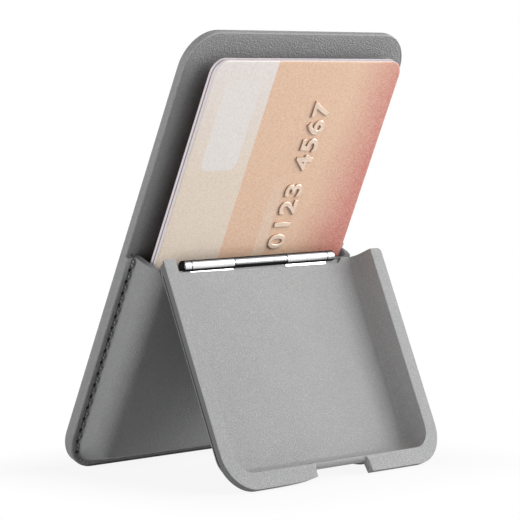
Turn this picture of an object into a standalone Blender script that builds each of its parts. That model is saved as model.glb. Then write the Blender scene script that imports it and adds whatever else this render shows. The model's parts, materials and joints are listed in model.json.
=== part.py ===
"""Magnetic phone wallet with a fold-out stand, at real size in metres, +Z up.

A thin leather-covered plate holds a ring of magnets for the phone. A moulded leather pocket is sewn on the
lower half of its front, and a moulded lid hangs from a steel hinge at the pocket's mouth. Folded up, the lid
covers the cards. Folded down, as here, it is the leg that the wallet stands on.

Every piece is drawn lying in the plate's own plane: X across, Y up the plate, Z out of the card side. The
empty wallet_frame then leans the whole wallet, and the empty lid_pivot turns the lid about its hinge pin.
"""
import math

import bmesh
import bpy
from mathutils import Vector
from mathutils.geometry import tessellate_polygon

MM = 0.001

# Cards: two plain cards of the standard size, which the wallet is built round
CARD_LENGTH = 85.6 * MM
CARD_WIDTH = 53.98 * MM
CARD_THICKNESS = 0.76 * MM
CARD_RADIUS = 3.18 * MM
CARD_FOOT = 5.4 * MM
CARD_BEHIND_PIN = 2.0 * MM
CARD_EDGE_ROUND = 0.08 * MM
CARD_SIDE_ROOM = 0.86 * MM
CARD_TOP_ROOM = 0.5 * MM

# Pocket: moulded leather with a sewn flange
POCKET_LEATHER = 1.05 * MM
FLANGE_THICKNESS = 0.7 * MM
FLANGE_WIDTH = 2.2 * MM
FLANGE_ROUND = 0.3 * MM
FOOT_FILLET = 0.25 * MM
BULGE_STANDOFF = 0.5 * MM
BULGE_RADIUS = 4.6 * MM
BOTTOM_FLANGE_WIDTH = 1.6 * MM
BOTTOM_SLOPE_SHARE = 1.9
INNER_CORNER_SHARE = 0.3

# Rim of the lid, which frames the cards when it is shut
RIM_WIDTH = 3.3 * MM
END_RIM_WIDTH = 3.7 * MM
END_SLOPE_SHARE = 1.0
RIM_THICKNESS = 1.8 * MM
RIM_ROUND = 0.35 * MM
RIM_FACE_THICKNESS = 0.5 * MM

# Whole wallet: as wide as a card in its pocket, and as high as a card under the shut lid
WIDTH = CARD_WIDTH + 2 * (CARD_SIDE_ROOM + POCKET_LEATHER + BULGE_STANDOFF + FLANGE_WIDTH)
HEIGHT = CARD_FOOT + CARD_LENGTH + CARD_TOP_ROOM + END_RIM_WIDTH
FRONT_FLAT_WIDTH = WIDTH - 2 * (FLANGE_WIDTH + BULGE_STANDOFF + BULGE_RADIUS)
CORNER_RADIUS = 7.8 * MM
LEAN = math.radians(23.4)
OPEN_ANGLE = math.radians(133.4)
CORNER_STEPS = 8
LAYER_GAP = 0.05 * MM

# Hinge pin, just above the middle, which gives the pocket and the lid their depths
HINGE_ABOVE_MIDDLE = 0.4 * MM
HINGE_HEIGHT = HEIGHT / 2 + HINGE_ABOVE_MIDDLE
HINGE_DEPTH = 6.0 * MM
BARREL_DIAMETER = 2.2 * MM
MOUTH_BELOW_PIN = 0.7 * MM
LID_SHUT_GAP = 0.3 * MM
POCKET_HEIGHT = HINGE_HEIGHT - MOUTH_BELOW_PIN
POCKET_DEPTH = HINGE_DEPTH + BARREL_DIAMETER / 2
LID_RIM_HEIGHT = HINGE_DEPTH - LID_SHUT_GAP
CARD_FACE = HINGE_DEPTH - CARD_BEHIND_PIN

# Plate: a leather cover wrapped round a board, with a sheet of steel and a lining in front
COVER_FLOOR = 0.45 * MM
COVER_WALL = 1.0 * MM
COVER_REAR_ROUND = 0.9 * MM
COVER_FRONT_ROUND = 0.45 * MM
BOARD_CLEARANCE = 0.1 * MM
BOARD_THICKNESS = 0.85 * MM
SHIELD_THICKNESS = 0.15 * MM
SHIELD_INSET = 2.2 * MM
LINING_THICKNESS = 0.4 * MM
LINING_ROUND = 0.1 * MM
PLATE_THICKNESS = COVER_FLOOR + BOARD_THICKNESS + SHIELD_THICKNESS + LINING_THICKNESS + 3 * LAYER_GAP

# Magnets for the phone, in grooves in the rear of the board
RING_SIDE_MARGIN = 4.0 * MM
RING_TOP_MARGIN = 5.6 * MM
RING_BAND = 4.4 * MM
RING_OUTER = WIDTH / 2 - RING_SIDE_MARGIN
RING_INNER = RING_OUTER - RING_BAND
RING_HEIGHT = HEIGHT - RING_TOP_MARGIN - RING_OUTER
RING_MAGNETS = 16
RING_MAGNET_GAP = 0.35 * MM
MAGNET_THICKNESS = 0.5 * MM
SHUNT_THICKNESS = 0.15 * MM
GROOVE_CLEARANCE = 0.15 * MM
RING_STEPS = 48
ALIGN_WIDTH = 6.0 * MM
ALIGN_BELOW_RING = 4.5 * MM
ALIGN_ABOVE_FOOT = 12.9 * MM
ALIGN_TOP = RING_HEIGHT - RING_OUTER - ALIGN_BELOW_RING

# Closing magnets: a pair in the lid's end rim and a pair of steel keepers in the board behind them
CLASP_LENGTH = 9.0 * MM
CLASP_WIDTH = 1.6 * MM
CLASP_EDGE = 2.0 * MM
CLASP_THICKNESS = 0.7 * MM
CLASP_APART = 30.0 * MM
KEEPER_THICKNESS = 0.4 * MM
KEEPER_EDGE = 2.2 * MM

# Stiffener and lining behind the pocket's front
PANEL_MARGIN = 0.8 * MM
PANEL_WIDTH = FRONT_FLAT_WIDTH - 2 * PANEL_MARGIN
PANEL_BOTTOM = 12.0 * MM
PANEL_RADIUS = 3.0 * MM
STIFFENER_THICKNESS = 0.6 * MM
POCKET_LINING_THICKNESS = 0.4 * MM

# Stitching down both sides of the pocket
STITCH_INSET = 1.45 * MM
STITCH_PITCH = 2.61 * MM
STITCHES = 16
STITCH_TOP = 45.8 * MM
THREAD_DIAMETER = 0.42 * MM
THREAD_LIFT = 0.22 * MM
THREAD_SIDES = 6
THREAD_POINTS_PER_STITCH = 4

# Hinge: two rolled leaves on a pin, five knuckles
HINGE_SIDE_MARGIN = 1.9 * MM
HINGE_LENGTH = FRONT_FLAT_WIDTH - 2 * HINGE_SIDE_MARGIN
MIDDLE_KNUCKLE = 15.2 * MM
END_KNUCKLE = 2.6 * MM
KNUCKLE_GAP = 0.1 * MM
PIN_DIAMETER = 1.2 * MM
PIN_RECESS = 0.6 * MM
PIN_CLEARANCE = 0.06 * MM
LEAF_THICKNESS = 0.35 * MM
LEAF_LENGTH = 6.0 * MM
LEAF_RELIEF = 2.3 * MM
ROLL_SLIT = math.radians(14)
ROLL_STEPS = 20
HINGE_END_ROOM = 0.3 * MM

# Both leather edges beside the hinge are cut back to this angle, so that they meet at the end of the travel
EDGE_ANGLE = math.radians(20)
EDGE_CUT_LENGTH = 8.0 * MM

# Lid, which is also the stand
LID_LENGTH = HEIGHT - HINGE_HEIGHT
LID_START = 0.9 * MM
LID_LINING_START = 0.5 * MM
LID_OUTER_FACE = 1.15 * MM
LID_WALL = 1.35 * MM
LID_LINING_THICKNESS = 0.4 * MM
LID_INNER_FILLET = 2.2 * MM
LID_FLOOR_FACE = 0.35 * MM
LID_BOARD_THICKNESS = 0.4 * MM
LID_BOARD_INSET = 7.5 * MM
BARREL_ROOM = 0.25 * MM
LEAF_SHOW = 0.7 * MM
NOTCH_WIDTH = 16.0 * MM
NOTCH_LIP = 1.35 * MM
NOTCH_ROUND = 0.6 * MM

# Overrun for every cut, so that no cutter ends flush with what it cuts
OVERRUN = 1.0 * MM

LEATHER = ("leather_grey", (0.30, 0.30, 0.30), 0.62, 0.0)
THREAD = ("thread_grey", (0.22, 0.22, 0.22), 0.75, 0.0)
STEEL = ("hinge_steel", (0.82, 0.82, 0.83), 0.14, 1.0)
SPRING_STEEL = ("shield_steel", (0.45, 0.46, 0.48), 0.35, 1.0)
MAGNET = ("magnet_nickel", (0.60, 0.60, 0.62), 0.30, 1.0)
BOARD = ("board_black", (0.03, 0.03, 0.03), 0.60, 0.0)
CARD_FRONT = ("card_sand", (0.78, 0.55, 0.38), 0.35, 0.0)
CARD_REAR = ("card_rose", (0.70, 0.42, 0.36), 0.35, 0.0)


def clear_scene():
    for item in list(bpy.data.objects):
        bpy.data.objects.remove(item, do_unlink=True)


def material(finish):
    name, colour, roughness, metallic = finish
    found = bpy.data.materials.get(name)
    if found:
        return found
    made = bpy.data.materials.new(name)
    made.use_nodes = True
    shader = made.node_tree.nodes["Principled BSDF"]
    shader.inputs["Base Color"].default_value = (*colour, 1.0)
    shader.inputs["Roughness"].default_value = roughness
    shader.inputs["Metallic"].default_value = metallic
    return made


def empty(name, parent=None, location=(0, 0, 0), turn_x=0.0):
    item = bpy.data.objects.new(name, None)
    bpy.context.scene.collection.objects.link(item)
    item.parent = parent
    item.location = location
    item.rotation_euler = (turn_x, 0, 0)
    return item


def finish_mesh(name, bm, parent, finish=None, smooth=True):
    """Turns a bmesh into an object with its faces pointing out."""
    bmesh.ops.recalc_face_normals(bm, faces=bm.faces)
    mesh = bpy.data.meshes.new(name)
    bm.to_mesh(mesh)
    bm.free()
    if smooth:
        mesh.shade_smooth()
        mesh.set_sharp_from_angle(angle=math.radians(35))
    item = bpy.data.objects.new(name, mesh)
    bpy.context.scene.collection.objects.link(item)
    item.parent = parent
    if finish:
        mesh.materials.append(material(finish))
    else:
        item.hide_render = True
        item.display_type = "WIRE"
    return item


def cut(item, cutter, operation="DIFFERENCE"):
    step = item.modifiers.new(cutter.name, "BOOLEAN")
    step.operation = operation
    step.solver = "EXACT"
    step.object = cutter
    return item


def arc(centre, radius, start, stop, steps):
    """Points on a circle from one angle to another, both in degrees."""
    points = []
    for i in range(steps + 1):
        angle = math.radians(start + (stop - start) * i / steps)
        points.append((centre[0] + radius * math.cos(angle), centre[1] + radius * math.sin(angle)))
    return points


def rounded_outline(half_width, bottom, top, radius, steps=CORNER_STEPS):
    """A rectangle with four round corners, anticlockwise from the lower right."""
    points = []
    corners = ((half_width - radius, bottom + radius, -90), (half_width - radius, top - radius, 0),
               (radius - half_width, top - radius, 90), (radius - half_width, bottom + radius, 180))
    for x, y, start in corners:
        points += arc((x, y), radius, start, start + 90, steps)
    return points


def open_outline(half_width, length, radius, steps=CORNER_STEPS):
    """A U that starts at the open end on the left, runs round the closed end and comes back on the right."""
    left = arc((radius - half_width, length - radius), radius, 180, 90, steps)
    right = arc((half_width - radius, length - radius), radius, 90, 0, steps)
    return [(-half_width, 0.0)] + left + right + [(half_width, 0.0)]


def fill(bm, ring):
    """Fills a ring of vertices with triangles. The ring may turn inwards."""
    for corners in tessellate_polygon([[vert.co / MM for vert in ring]]):
        bm.faces.new([ring[corner] for corner in corners])


def edge_levels(back, front, back_round, front_round, steps):
    """Pairs of inset and height that run round a slab's edge, from its back face to its front face."""
    levels = [(0.0, back)]
    if back_round:
        levels = [(back_round + x, y) for x, y in arc((0, back + back_round), back_round, 270, 180, steps)]
    if front_round:
        return levels + [(front_round + x, y) for x, y in arc((0, front - front_round), front_round, 180, 90, steps)]
    return levels + [(0.0, front)]


def slab(name, parent, finish, half_width, bottom, top, radius, back, front, back_round=0.0, front_round=0.0,
         edge_steps=2, corner_steps=CORNER_STEPS):
    """A flat plate with round corners, whose back and front edges may be rounded."""
    bm = bmesh.new()
    rings = []
    for inset, z in edge_levels(back, front, back_round, front_round, edge_steps):
        outline = rounded_outline(half_width - inset, bottom + inset, top - inset, radius - inset, corner_steps)
        rings.append([bm.verts.new((x, y, z)) for x, y in outline])
    for low, high in zip(rings, rings[1:]):
        for i, vert in enumerate(low):
            j = (i + 1) % len(low)
            bm.faces.new((vert, low[j], high[j], high[i]))
    bm.faces.new(list(reversed(rings[0])))
    bm.faces.new(rings[-1])
    return finish_mesh(name, bm, parent, finish)


def block(name, parent, finish, low, high):
    """A plain box between two corners."""
    bm = bmesh.new()
    bmesh.ops.create_cube(bm, size=1.0)
    size = Vector(high) - Vector(low)
    middle = (Vector(high) + Vector(low)) / 2
    for vert in bm.verts:
        vert.co = Vector(tuple(c * s for c, s in zip(vert.co, size))) + middle
    return finish_mesh(name, bm, parent, finish, smooth=False)


def prism(name, parent, finish, outline, left, right):
    """A shape drawn in the Y-Z plane, drawn out along X between left and right."""
    bm = bmesh.new()
    near = [bm.verts.new((left, y, z)) for y, z in outline]
    far = [bm.verts.new((right, y, z)) for y, z in outline]
    for i in range(len(outline)):
        j = (i + 1) % len(outline)
        bm.faces.new((near[i], near[j], far[j], far[i]))
    fill(bm, near)
    fill(bm, far)
    return finish_mesh(name, bm, parent, finish)


def tray(name, parent, finish, profile, start, length, edge, end_edge, slope_share, flip):
    """A moulded shell that is open at one end.

    profile runs over the wall's section from the inner floor to the outer floor as (inset, height) pairs, and
    its first and last points close the floor. The inset is measured from the outer edge of a side. At the
    closed end the flat edge is end_edge wide instead of edge, and what lies inside it is wider by slope_share.
    flip is -1 where the closed end lies down the plate, and 1 where it lies up.
    """
    bm = bmesh.new()
    rows = []
    for inset, height in profile:
        radius = max(CORNER_RADIUS - inset, CORNER_RADIUS * INNER_CORNER_SHARE)
        end_inset = min(inset, edge) * end_edge / edge + max(inset - edge, 0.0) * slope_share
        outline = open_outline(WIDTH / 2 - inset, length - end_inset, radius)
        rows.append([bm.verts.new((x, flip * max(y, start), height)) for x, y in outline])
    for row, following in zip(rows, rows[1:]):
        for i in range(len(row) - 1):
            bm.faces.new((row[i], row[i + 1], following[i + 1], following[i]))
    bm.faces.new(rows[0])
    bm.faces.new(list(reversed(rows[-1])))
    fill(bm, [row[0] for row in rows] + [row[-1] for row in reversed(rows)])
    return finish_mesh(name, bm, parent, finish)


def ring_section(name, parent, finish, inner, outer, back, front, start=0.0, sweep=None, steps=RING_STEPS):
    """A flat ring round the middle of the phone's magnets, or the part of one that sweep gives."""
    whole = sweep is None
    sweep = sweep or 2 * math.pi
    count = steps if whole else steps + 1
    bm = bmesh.new()
    loops = []
    for i in range(count):
        angle = start + sweep * i / steps
        x, y = math.cos(angle), math.sin(angle)
        corners = ((inner, back), (outer, back), (outer, front), (inner, front))
        loops.append([bm.verts.new((r * x, RING_HEIGHT + r * y, z)) for r, z in corners])
    for i in range(count if whole else count - 1):
        here, there = loops[i], loops[(i + 1) % count]
        for k in range(4):
            bm.faces.new((here[k], here[(k + 1) % 4], there[(k + 1) % 4], there[k]))
    if not whole:
        bm.faces.new(loops[0])
        bm.faces.new(list(reversed(loops[-1])))
    return finish_mesh(name, bm, parent, finish)


def plate_levels():
    """Heights of the plate's layers, from the phone side to the card side."""
    levels = {"rear": -PLATE_THICKNESS}
    levels["board_back"] = levels["rear"] + COVER_FLOOR + LAYER_GAP
    levels["board_front"] = levels["board_back"] + BOARD_THICKNESS
    levels["shield_back"] = levels["board_front"] + LAYER_GAP
    levels["shield_front"] = levels["shield_back"] + SHIELD_THICKNESS
    levels["lining_back"] = levels["shield_front"] + LAYER_GAP
    return levels


def back_cover(parent):
    """Leather that covers the phone side and wraps round the edge, hollow in front for the board."""
    levels = plate_levels()
    cover = slab("back_cover", parent, LEATHER, WIDTH / 2, 0, HEIGHT, CORNER_RADIUS, levels["rear"], 0,
                 COVER_REAR_ROUND, COVER_FRONT_ROUND, edge_steps=4)
    hollow = slab("back_cover_hollow", parent, None, WIDTH / 2 - COVER_WALL, COVER_WALL, HEIGHT - COVER_WALL,
                  CORNER_RADIUS - COVER_WALL, levels["rear"] + COVER_FLOOR, OVERRUN)
    return cut(cover, hollow)


def core_board(parent):
    """The board that holds the magnets, with a ring groove and slots cut in it."""
    levels = plate_levels()
    inset = COVER_WALL + BOARD_CLEARANCE
    board = slab("core_board", parent, BOARD, WIDTH / 2 - inset, inset, HEIGHT - inset, CORNER_RADIUS - inset,
                 levels["board_back"], levels["board_front"])
    depth = levels["board_back"] + MAGNET_THICKNESS + SHUNT_THICKNESS + 2 * LAYER_GAP
    start = levels["board_back"] - OVERRUN
    cut(board, ring_section("ring_groove", parent, None, RING_INNER - GROOVE_CLEARANCE,
                            RING_OUTER + GROOVE_CLEARANCE, start, depth))
    half = ALIGN_WIDTH / 2 + GROOVE_CLEARANCE
    cut(board, block("align_slot", parent, None, (-half, ALIGN_ABOVE_FOOT - GROOVE_CLEARANCE, start),
                     (half, ALIGN_TOP + GROOVE_CLEARANCE, depth)))
    for side, word in ((-1, "left"), (1, "right")):
        x, y = keeper_place(side)
        low = (x - CLASP_LENGTH / 2 - GROOVE_CLEARANCE, y - CLASP_WIDTH / 2 - GROOVE_CLEARANCE,
               levels["board_front"] - KEEPER_THICKNESS - LAYER_GAP)
        high = (x + CLASP_LENGTH / 2 + GROOVE_CLEARANCE, y + CLASP_WIDTH / 2 + GROOVE_CLEARANCE, OVERRUN)
        cut(board, block("keeper_slot_" + word, parent, None, low, high))
    return board


def keeper_place(side):
    """Middle of a steel keeper, as near the plate's top edge as the board reaches."""
    return side * CLASP_APART / 2, HEIGHT - KEEPER_EDGE


def clasp_place(side):
    """Middle of a closing magnet in the lid's end rim, from the hinge pin."""
    return side * CLASP_APART / 2, LID_LENGTH - CLASP_EDGE


def phone_magnets(parent):
    """Sixteen magnets in a ring, the steel ring in front of them, and the bar that keeps the phone upright."""
    levels = plate_levels()
    back = levels["board_back"]
    front = back + MAGNET_THICKNESS
    turn = 2 * math.pi / RING_MAGNETS
    gap = RING_MAGNET_GAP * 2 / (RING_INNER + RING_OUTER)
    for i in range(RING_MAGNETS):
        ring_section(f"ring_magnet_{i + 1:02d}", parent, MAGNET, RING_INNER, RING_OUTER, back, front,
                     turn * i + gap / 2, turn - gap, RING_STEPS // RING_MAGNETS)
    ring_section("shunt_ring", parent, SPRING_STEEL, RING_INNER, RING_OUTER, front + LAYER_GAP,
                 front + LAYER_GAP + SHUNT_THICKNESS)
    block("alignment_magnet", parent, MAGNET, (-ALIGN_WIDTH / 2, ALIGN_ABOVE_FOOT, back),
          (ALIGN_WIDTH / 2, ALIGN_TOP, front))


def plate_front(parent):
    """Steel sheet that screens the cards, keepers for the lid's magnets, and the leather lining."""
    levels = plate_levels()
    slab("card_shield", parent, SPRING_STEEL, WIDTH / 2 - SHIELD_INSET, SHIELD_INSET, HEIGHT - SHIELD_INSET,
         CORNER_RADIUS - SHIELD_INSET, levels["shield_back"], levels["shield_front"])
    for side, word in ((-1, "left"), (1, "right")):
        x, y = keeper_place(side)
        block("keeper_" + word, parent, SPRING_STEEL,
              (x - CLASP_LENGTH / 2, y - CLASP_WIDTH / 2, levels["board_front"] - KEEPER_THICKNESS),
              (x + CLASP_LENGTH / 2, y + CLASP_WIDTH / 2, levels["board_front"]))
    inset = COVER_WALL + LAYER_GAP
    slab("front_lining", parent, LEATHER, WIDTH / 2 - inset, inset, HEIGHT - inset, CORNER_RADIUS - inset,
         levels["lining_back"], 0, front_round=LINING_ROUND)


def pocket_profile():
    """Section of the pocket's wall: inside first, then the sewn flange, then the bulge."""
    seat = LAYER_GAP
    flange = seat + FLANGE_THICKNESS
    inset = FLANGE_WIDTH + BULGE_STANDOFF + BULGE_RADIUS
    height = POCKET_DEPTH - BULGE_RADIUS
    inner = arc((inset, height), BULGE_RADIUS - POCKET_LEATHER, 90, 180, 7)
    foot = (inner[-1][0] - FOOT_FILLET, seat)
    edge = [(FLANGE_ROUND / 2, seat), (0, seat + FLANGE_ROUND), (0, flange - FLANGE_ROUND)]
    edge += arc((FLANGE_ROUND, flange - FLANGE_ROUND), FLANGE_ROUND, 180, 90, 2)[1:]
    rise = [(FLANGE_WIDTH, flange), (FLANGE_WIDTH + FOOT_FILLET, flange + FOOT_FILLET)]
    outer = arc((inset, height), BULGE_RADIUS, 180, 90, 9)
    return inner + [foot] + edge + rise + outer


def edge_wedge(name, parent, side, axis_height):
    """A wedge that trims a leather edge back from the hinge pin, on the outer side of the edge angle.

    side is -1 where the leather lies down the plate from the pin, and 1 where it lies up.
    """
    reach = side * EDGE_CUT_LENGTH
    rise = EDGE_CUT_LENGTH * math.tan(EDGE_ANGLE)
    outline = [(0, axis_height), (reach, axis_height + rise), (reach, axis_height + rise + EDGE_CUT_LENGTH),
               (0, axis_height + EDGE_CUT_LENGTH)]
    return prism(name, parent, None, outline, -WIDTH, WIDTH)


def pocket(parent):
    """Moulded pocket with its mouth trimmed for the hinge, the stiffener behind its front, and the lining."""
    shell = tray("pocket_shell", parent, LEATHER, pocket_profile(), 0, POCKET_HEIGHT, FLANGE_WIDTH,
                 BOTTOM_FLANGE_WIDTH, BOTTOM_SLOPE_SHARE, -1)
    shell.location = (0, POCKET_HEIGHT, 0)
    wedge = edge_wedge("pocket_edge_wedge", parent, -1, HINGE_DEPTH)
    wedge.location = (0, HINGE_HEIGHT, 0)
    cut(shell, wedge)
    half = HINGE_LENGTH / 2 + HINGE_END_ROOM
    room = BARREL_DIAMETER / 2 + BARREL_ROOM
    cut(shell, block("pocket_hinge_room", parent, None, (-half, HINGE_HEIGHT - room, HINGE_DEPTH - OVERRUN),
                     (half, HINGE_HEIGHT + OVERRUN, HINGE_DEPTH + 2 * OVERRUN)))
    inside = POCKET_DEPTH - POCKET_LEATHER
    leaf_back = inside - LAYER_GAP - LEAF_THICKNESS
    stiff_front = leaf_back - LAYER_GAP
    stiff_back = stiff_front - STIFFENER_THICKNESS
    slab("pocket_stiffener", parent, BOARD, PANEL_WIDTH / 2, PANEL_BOTTOM, HINGE_HEIGHT - room, PANEL_RADIUS,
         stiff_back, stiff_front, corner_steps=4)
    slab("pocket_lining", parent, LEATHER, PANEL_WIDTH / 2, PANEL_BOTTOM, POCKET_HEIGHT, PANEL_RADIUS,
         stiff_back - LAYER_GAP - POCKET_LINING_THICKNESS, stiff_back - LAYER_GAP, back_round=LINING_ROUND,
         corner_steps=4)


def thread(name, parent, side):
    """One run of stitching: a cord that rises over the leather in the middle of each stitch."""
    line = bpy.data.curves.new(name, "CURVE")
    line.dimensions = "3D"
    line.bevel_depth = THREAD_DIAMETER / 2
    line.bevel_resolution = (THREAD_SIDES - 4) // 2
    line.use_fill_caps = True
    spline = line.splines.new("POLY")
    count = STITCHES * THREAD_POINTS_PER_STITCH + 1
    spline.points.add(count - 1)
    rest = LAYER_GAP + FLANGE_THICKNESS + LAYER_GAP + THREAD_DIAMETER / 2
    for i, point in enumerate(spline.points):
        lift = THREAD_LIFT * math.sin(math.pi * (i % THREAD_POINTS_PER_STITCH) / THREAD_POINTS_PER_STITCH)
        y = STITCH_TOP - STITCH_PITCH * i / THREAD_POINTS_PER_STITCH
        point.co = (side * (WIDTH / 2 - STITCH_INSET), y, rest + lift, 1)
    item = bpy.data.objects.new(name, line)
    bpy.context.scene.collection.objects.link(item)
    item.parent = parent
    line.materials.append(material(THREAD))
    return item


def roll_outline(side, low, high):
    """Section of a leaf rolled round the pin. The leaf leaves the roll between two heights, along +Y or -Y."""
    outer = BARREL_DIAMETER / 2
    inner = PIN_DIAMETER / 2 + PIN_CLEARANCE
    reach = -LEAF_RELIEF - LEAF_THICKNESS
    start = 180 - math.degrees(math.asin(low / outer))
    meet = 180 - math.degrees(math.asin(high / inner))
    stop = meet - math.degrees(ROLL_SLIT)
    outline = [(reach, low)] + arc((0, 0), outer, start, stop + 360, ROLL_STEPS)
    outline += arc((0, 0), inner, stop, meet - 360, ROLL_STEPS)
    outline.append((reach, high))
    return [(-side * y, z) for y, z in outline]


def hinge_leaf(name, parent, side, low, high, knuckles):
    """A steel leaf with its knuckles. side is -1 where the leaf lies down the plate, and 1 where it lies up."""
    near, far = side * LEAF_RELIEF, side * LEAF_LENGTH
    half = HINGE_LENGTH / 2
    leaf = block(name, parent, STEEL, (-half, min(near, far), low), (half, max(near, far), high))
    for i, (left, right) in enumerate(knuckles):
        roll = prism(f"{name}_roll_{i + 1}", parent, None, roll_outline(side, low, high), left, right)
        cut(leaf, roll, "UNION")
    return leaf


def hinge(parent, pivot):
    """Five knuckles: the ends and the middle belong to the pocket, and the two between them to the lid."""
    half = HINGE_LENGTH / 2
    middle = MIDDLE_KNUCKLE / 2
    inner_end = half - END_KNUCKLE
    axis = empty("hinge_axis", parent, (0, HINGE_HEIGHT, HINGE_DEPTH))
    leaf_front = POCKET_DEPTH - POCKET_LEATHER - LAYER_GAP - HINGE_DEPTH
    hinge_leaf("hinge_leaf_pocket", axis, -1, leaf_front - LEAF_THICKNESS, leaf_front,
               [(-half, -inner_end), (-middle, middle), (inner_end, half)])
    hinge_leaf("hinge_leaf_lid", pivot, 1, lid_seat(), lid_seat() + LEAF_THICKNESS,
               [(-inner_end + KNUCKLE_GAP, -middle - KNUCKLE_GAP), (middle + KNUCKLE_GAP, inner_end - KNUCKLE_GAP)])
    outline = arc((0, 0), PIN_DIAMETER / 2, 0, 360, ROLL_STEPS)[:-1]
    prism("hinge_pin", axis, STEEL, outline, PIN_RECESS - half, half - PIN_RECESS)


def lid_seat():
    """Height behind the lid's lining, where the hinge leaf and the board lie."""
    return LID_LINING_THICKNESS - LID_FLOOR_FACE + LAYER_GAP


def lid_profiles():
    """Sections of the lid's two moulded skins, inside first, in the lid's own height, outward up."""
    rim = -LID_RIM_HEIGHT
    fillet = LID_INNER_FILLET
    floor = -LID_FLOOR_FACE
    face = rim + RIM_FACE_THICKNESS
    skin = LID_LINING_THICKNESS
    inner_centre = (RIM_WIDTH + fillet, floor - fillet)
    inside = arc(inner_centre, fillet, 90, 180, 5)
    rim_edge = [(RIM_WIDTH, rim)] + arc((RIM_ROUND, rim + RIM_ROUND), RIM_ROUND, 270, 180, 3)
    hidden = arc(inner_centre, fillet + skin, 180, 90, 5)
    lining = inside + rim_edge + [(0, face), (RIM_WIDTH - skin, face)] + hidden
    gap = LAYER_GAP
    nest = arc(inner_centre, fillet + skin + gap, 90, 180, 5)
    under = rim + RIM_THICKNESS
    wall = RIM_WIDTH - LID_WALL
    bulge = LID_OUTER_FACE - under
    seat = face + gap
    edge = [(nest[-1][0], seat), (0, seat), (0, under - RIM_ROUND)]
    edge += arc((RIM_ROUND, under - RIM_ROUND), RIM_ROUND, 180, 90, 3)[1:]
    outside = arc((wall + bulge, under), bulge, 180, 90, 9)
    cover = nest + edge + outside
    return cover, lining


def lid(pivot):
    """The stand: a leather cover, a stiffening board in its floor, a lining, and magnets in its end rim."""
    cover_profile, lining_profile = lid_profiles()
    cover = tray("lid_cover", pivot, LEATHER, cover_profile, LID_START, LID_LENGTH, RIM_WIDTH,
                 END_RIM_WIDTH, END_SLOPE_SHARE, 1)
    lining = tray("lid_lining", pivot, LEATHER, lining_profile, LID_LINING_START, LID_LENGTH, RIM_WIDTH,
                  END_RIM_WIDTH, END_SLOPE_SHARE, 1)
    cut(cover, edge_wedge("lid_edge_wedge", pivot, 1, 0.0))
    half = HINGE_LENGTH / 2 + HINGE_END_ROOM
    room = BARREL_DIAMETER / 2 + BARREL_ROOM
    cut(cover, block("lid_cover_hinge_room", pivot, None, (-half, -OVERRUN, -LID_RIM_HEIGHT / 2),
                     (half, room, LID_OUTER_FACE + OVERRUN)))
    cut(lining, block("lid_lining_hinge_room", pivot, None, (-half, -OVERRUN, -LID_RIM_HEIGHT / 2),
                      (half, room + LEAF_SHOW, LID_OUTER_FACE + OVERRUN)))
    cut(cover, block("lid_leaf_room", pivot, None, (-half, -OVERRUN, -OVERRUN),
                     (half, LEAF_LENGTH + LAYER_GAP, lid_seat() + LEAF_THICKNESS + LAYER_GAP)))
    board_half = WIDTH / 2 - LID_BOARD_INSET
    board_top = LID_LENGTH - LID_BOARD_INSET
    board_bottom = LEAF_LENGTH + LID_WALL
    board_front = lid_seat() + LID_BOARD_THICKNESS
    cut(cover, slab("lid_board_room", pivot, None, board_half + BOARD_CLEARANCE, board_bottom - BOARD_CLEARANCE,
                    board_top + BOARD_CLEARANCE, PANEL_RADIUS + BOARD_CLEARANCE, -OVERRUN,
                    board_front + LAYER_GAP, corner_steps=4))
    slab("lid_board", pivot, BOARD, board_half, board_bottom, board_top, PANEL_RADIUS, lid_seat(), board_front,
         corner_steps=4)
    finger_notch(pivot, cover, lining)
    for side, word in ((-1, "left"), (1, "right")):
        x, y = clasp_place(side)
        top = -LID_RIM_HEIGHT + RIM_FACE_THICKNESS + LAYER_GAP
        room_low = (x - CLASP_LENGTH / 2 - BOARD_CLEARANCE, y - CLASP_WIDTH / 2 - BOARD_CLEARANCE, top - OVERRUN)
        room_high = (x + CLASP_LENGTH / 2 + BOARD_CLEARANCE, y + CLASP_WIDTH / 2 + BOARD_CLEARANCE,
                     top + CLASP_THICKNESS + LAYER_GAP)
        cut(cover, block("clasp_room_" + word, pivot, None, room_low, room_high))
        block("clasp_magnet_" + word, pivot, MAGNET, (x - CLASP_LENGTH / 2, y - CLASP_WIDTH / 2, top),
              (x + CLASP_LENGTH / 2, y + CLASP_WIDTH / 2, top + CLASP_THICKNESS))


def finger_notch(pivot, cover, lining):
    """Opening in the end rim for a finger, which leaves the wall as a lip."""
    bottom = LID_LENGTH - END_RIM_WIDTH + NOTCH_LIP
    for item, word in ((cover, "cover"), (lining, "lining")):
        cut(item, slab("notch_" + word, pivot, None, NOTCH_WIDTH / 2, bottom, LID_LENGTH + 2 * NOTCH_ROUND,
                       NOTCH_ROUND, -LID_RIM_HEIGHT - OVERRUN, -LID_RIM_HEIGHT + RIM_THICKNESS + OVERRUN,
                       corner_steps=3))


def cards(parent):
    """Two plain cards that stand on the pocket's floor, one behind the other."""
    face = CARD_FACE
    for name, finish in (("card_front", CARD_FRONT), ("card_rear", CARD_REAR)):
        slab(name, parent, finish, CARD_WIDTH / 2, CARD_FOOT, CARD_FOOT + CARD_LENGTH, CARD_RADIUS,
             face - CARD_THICKNESS, face, CARD_EDGE_ROUND, CARD_EDGE_ROUND, edge_steps=1, corner_steps=6)
        face -= CARD_THICKNESS + LAYER_GAP


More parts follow.
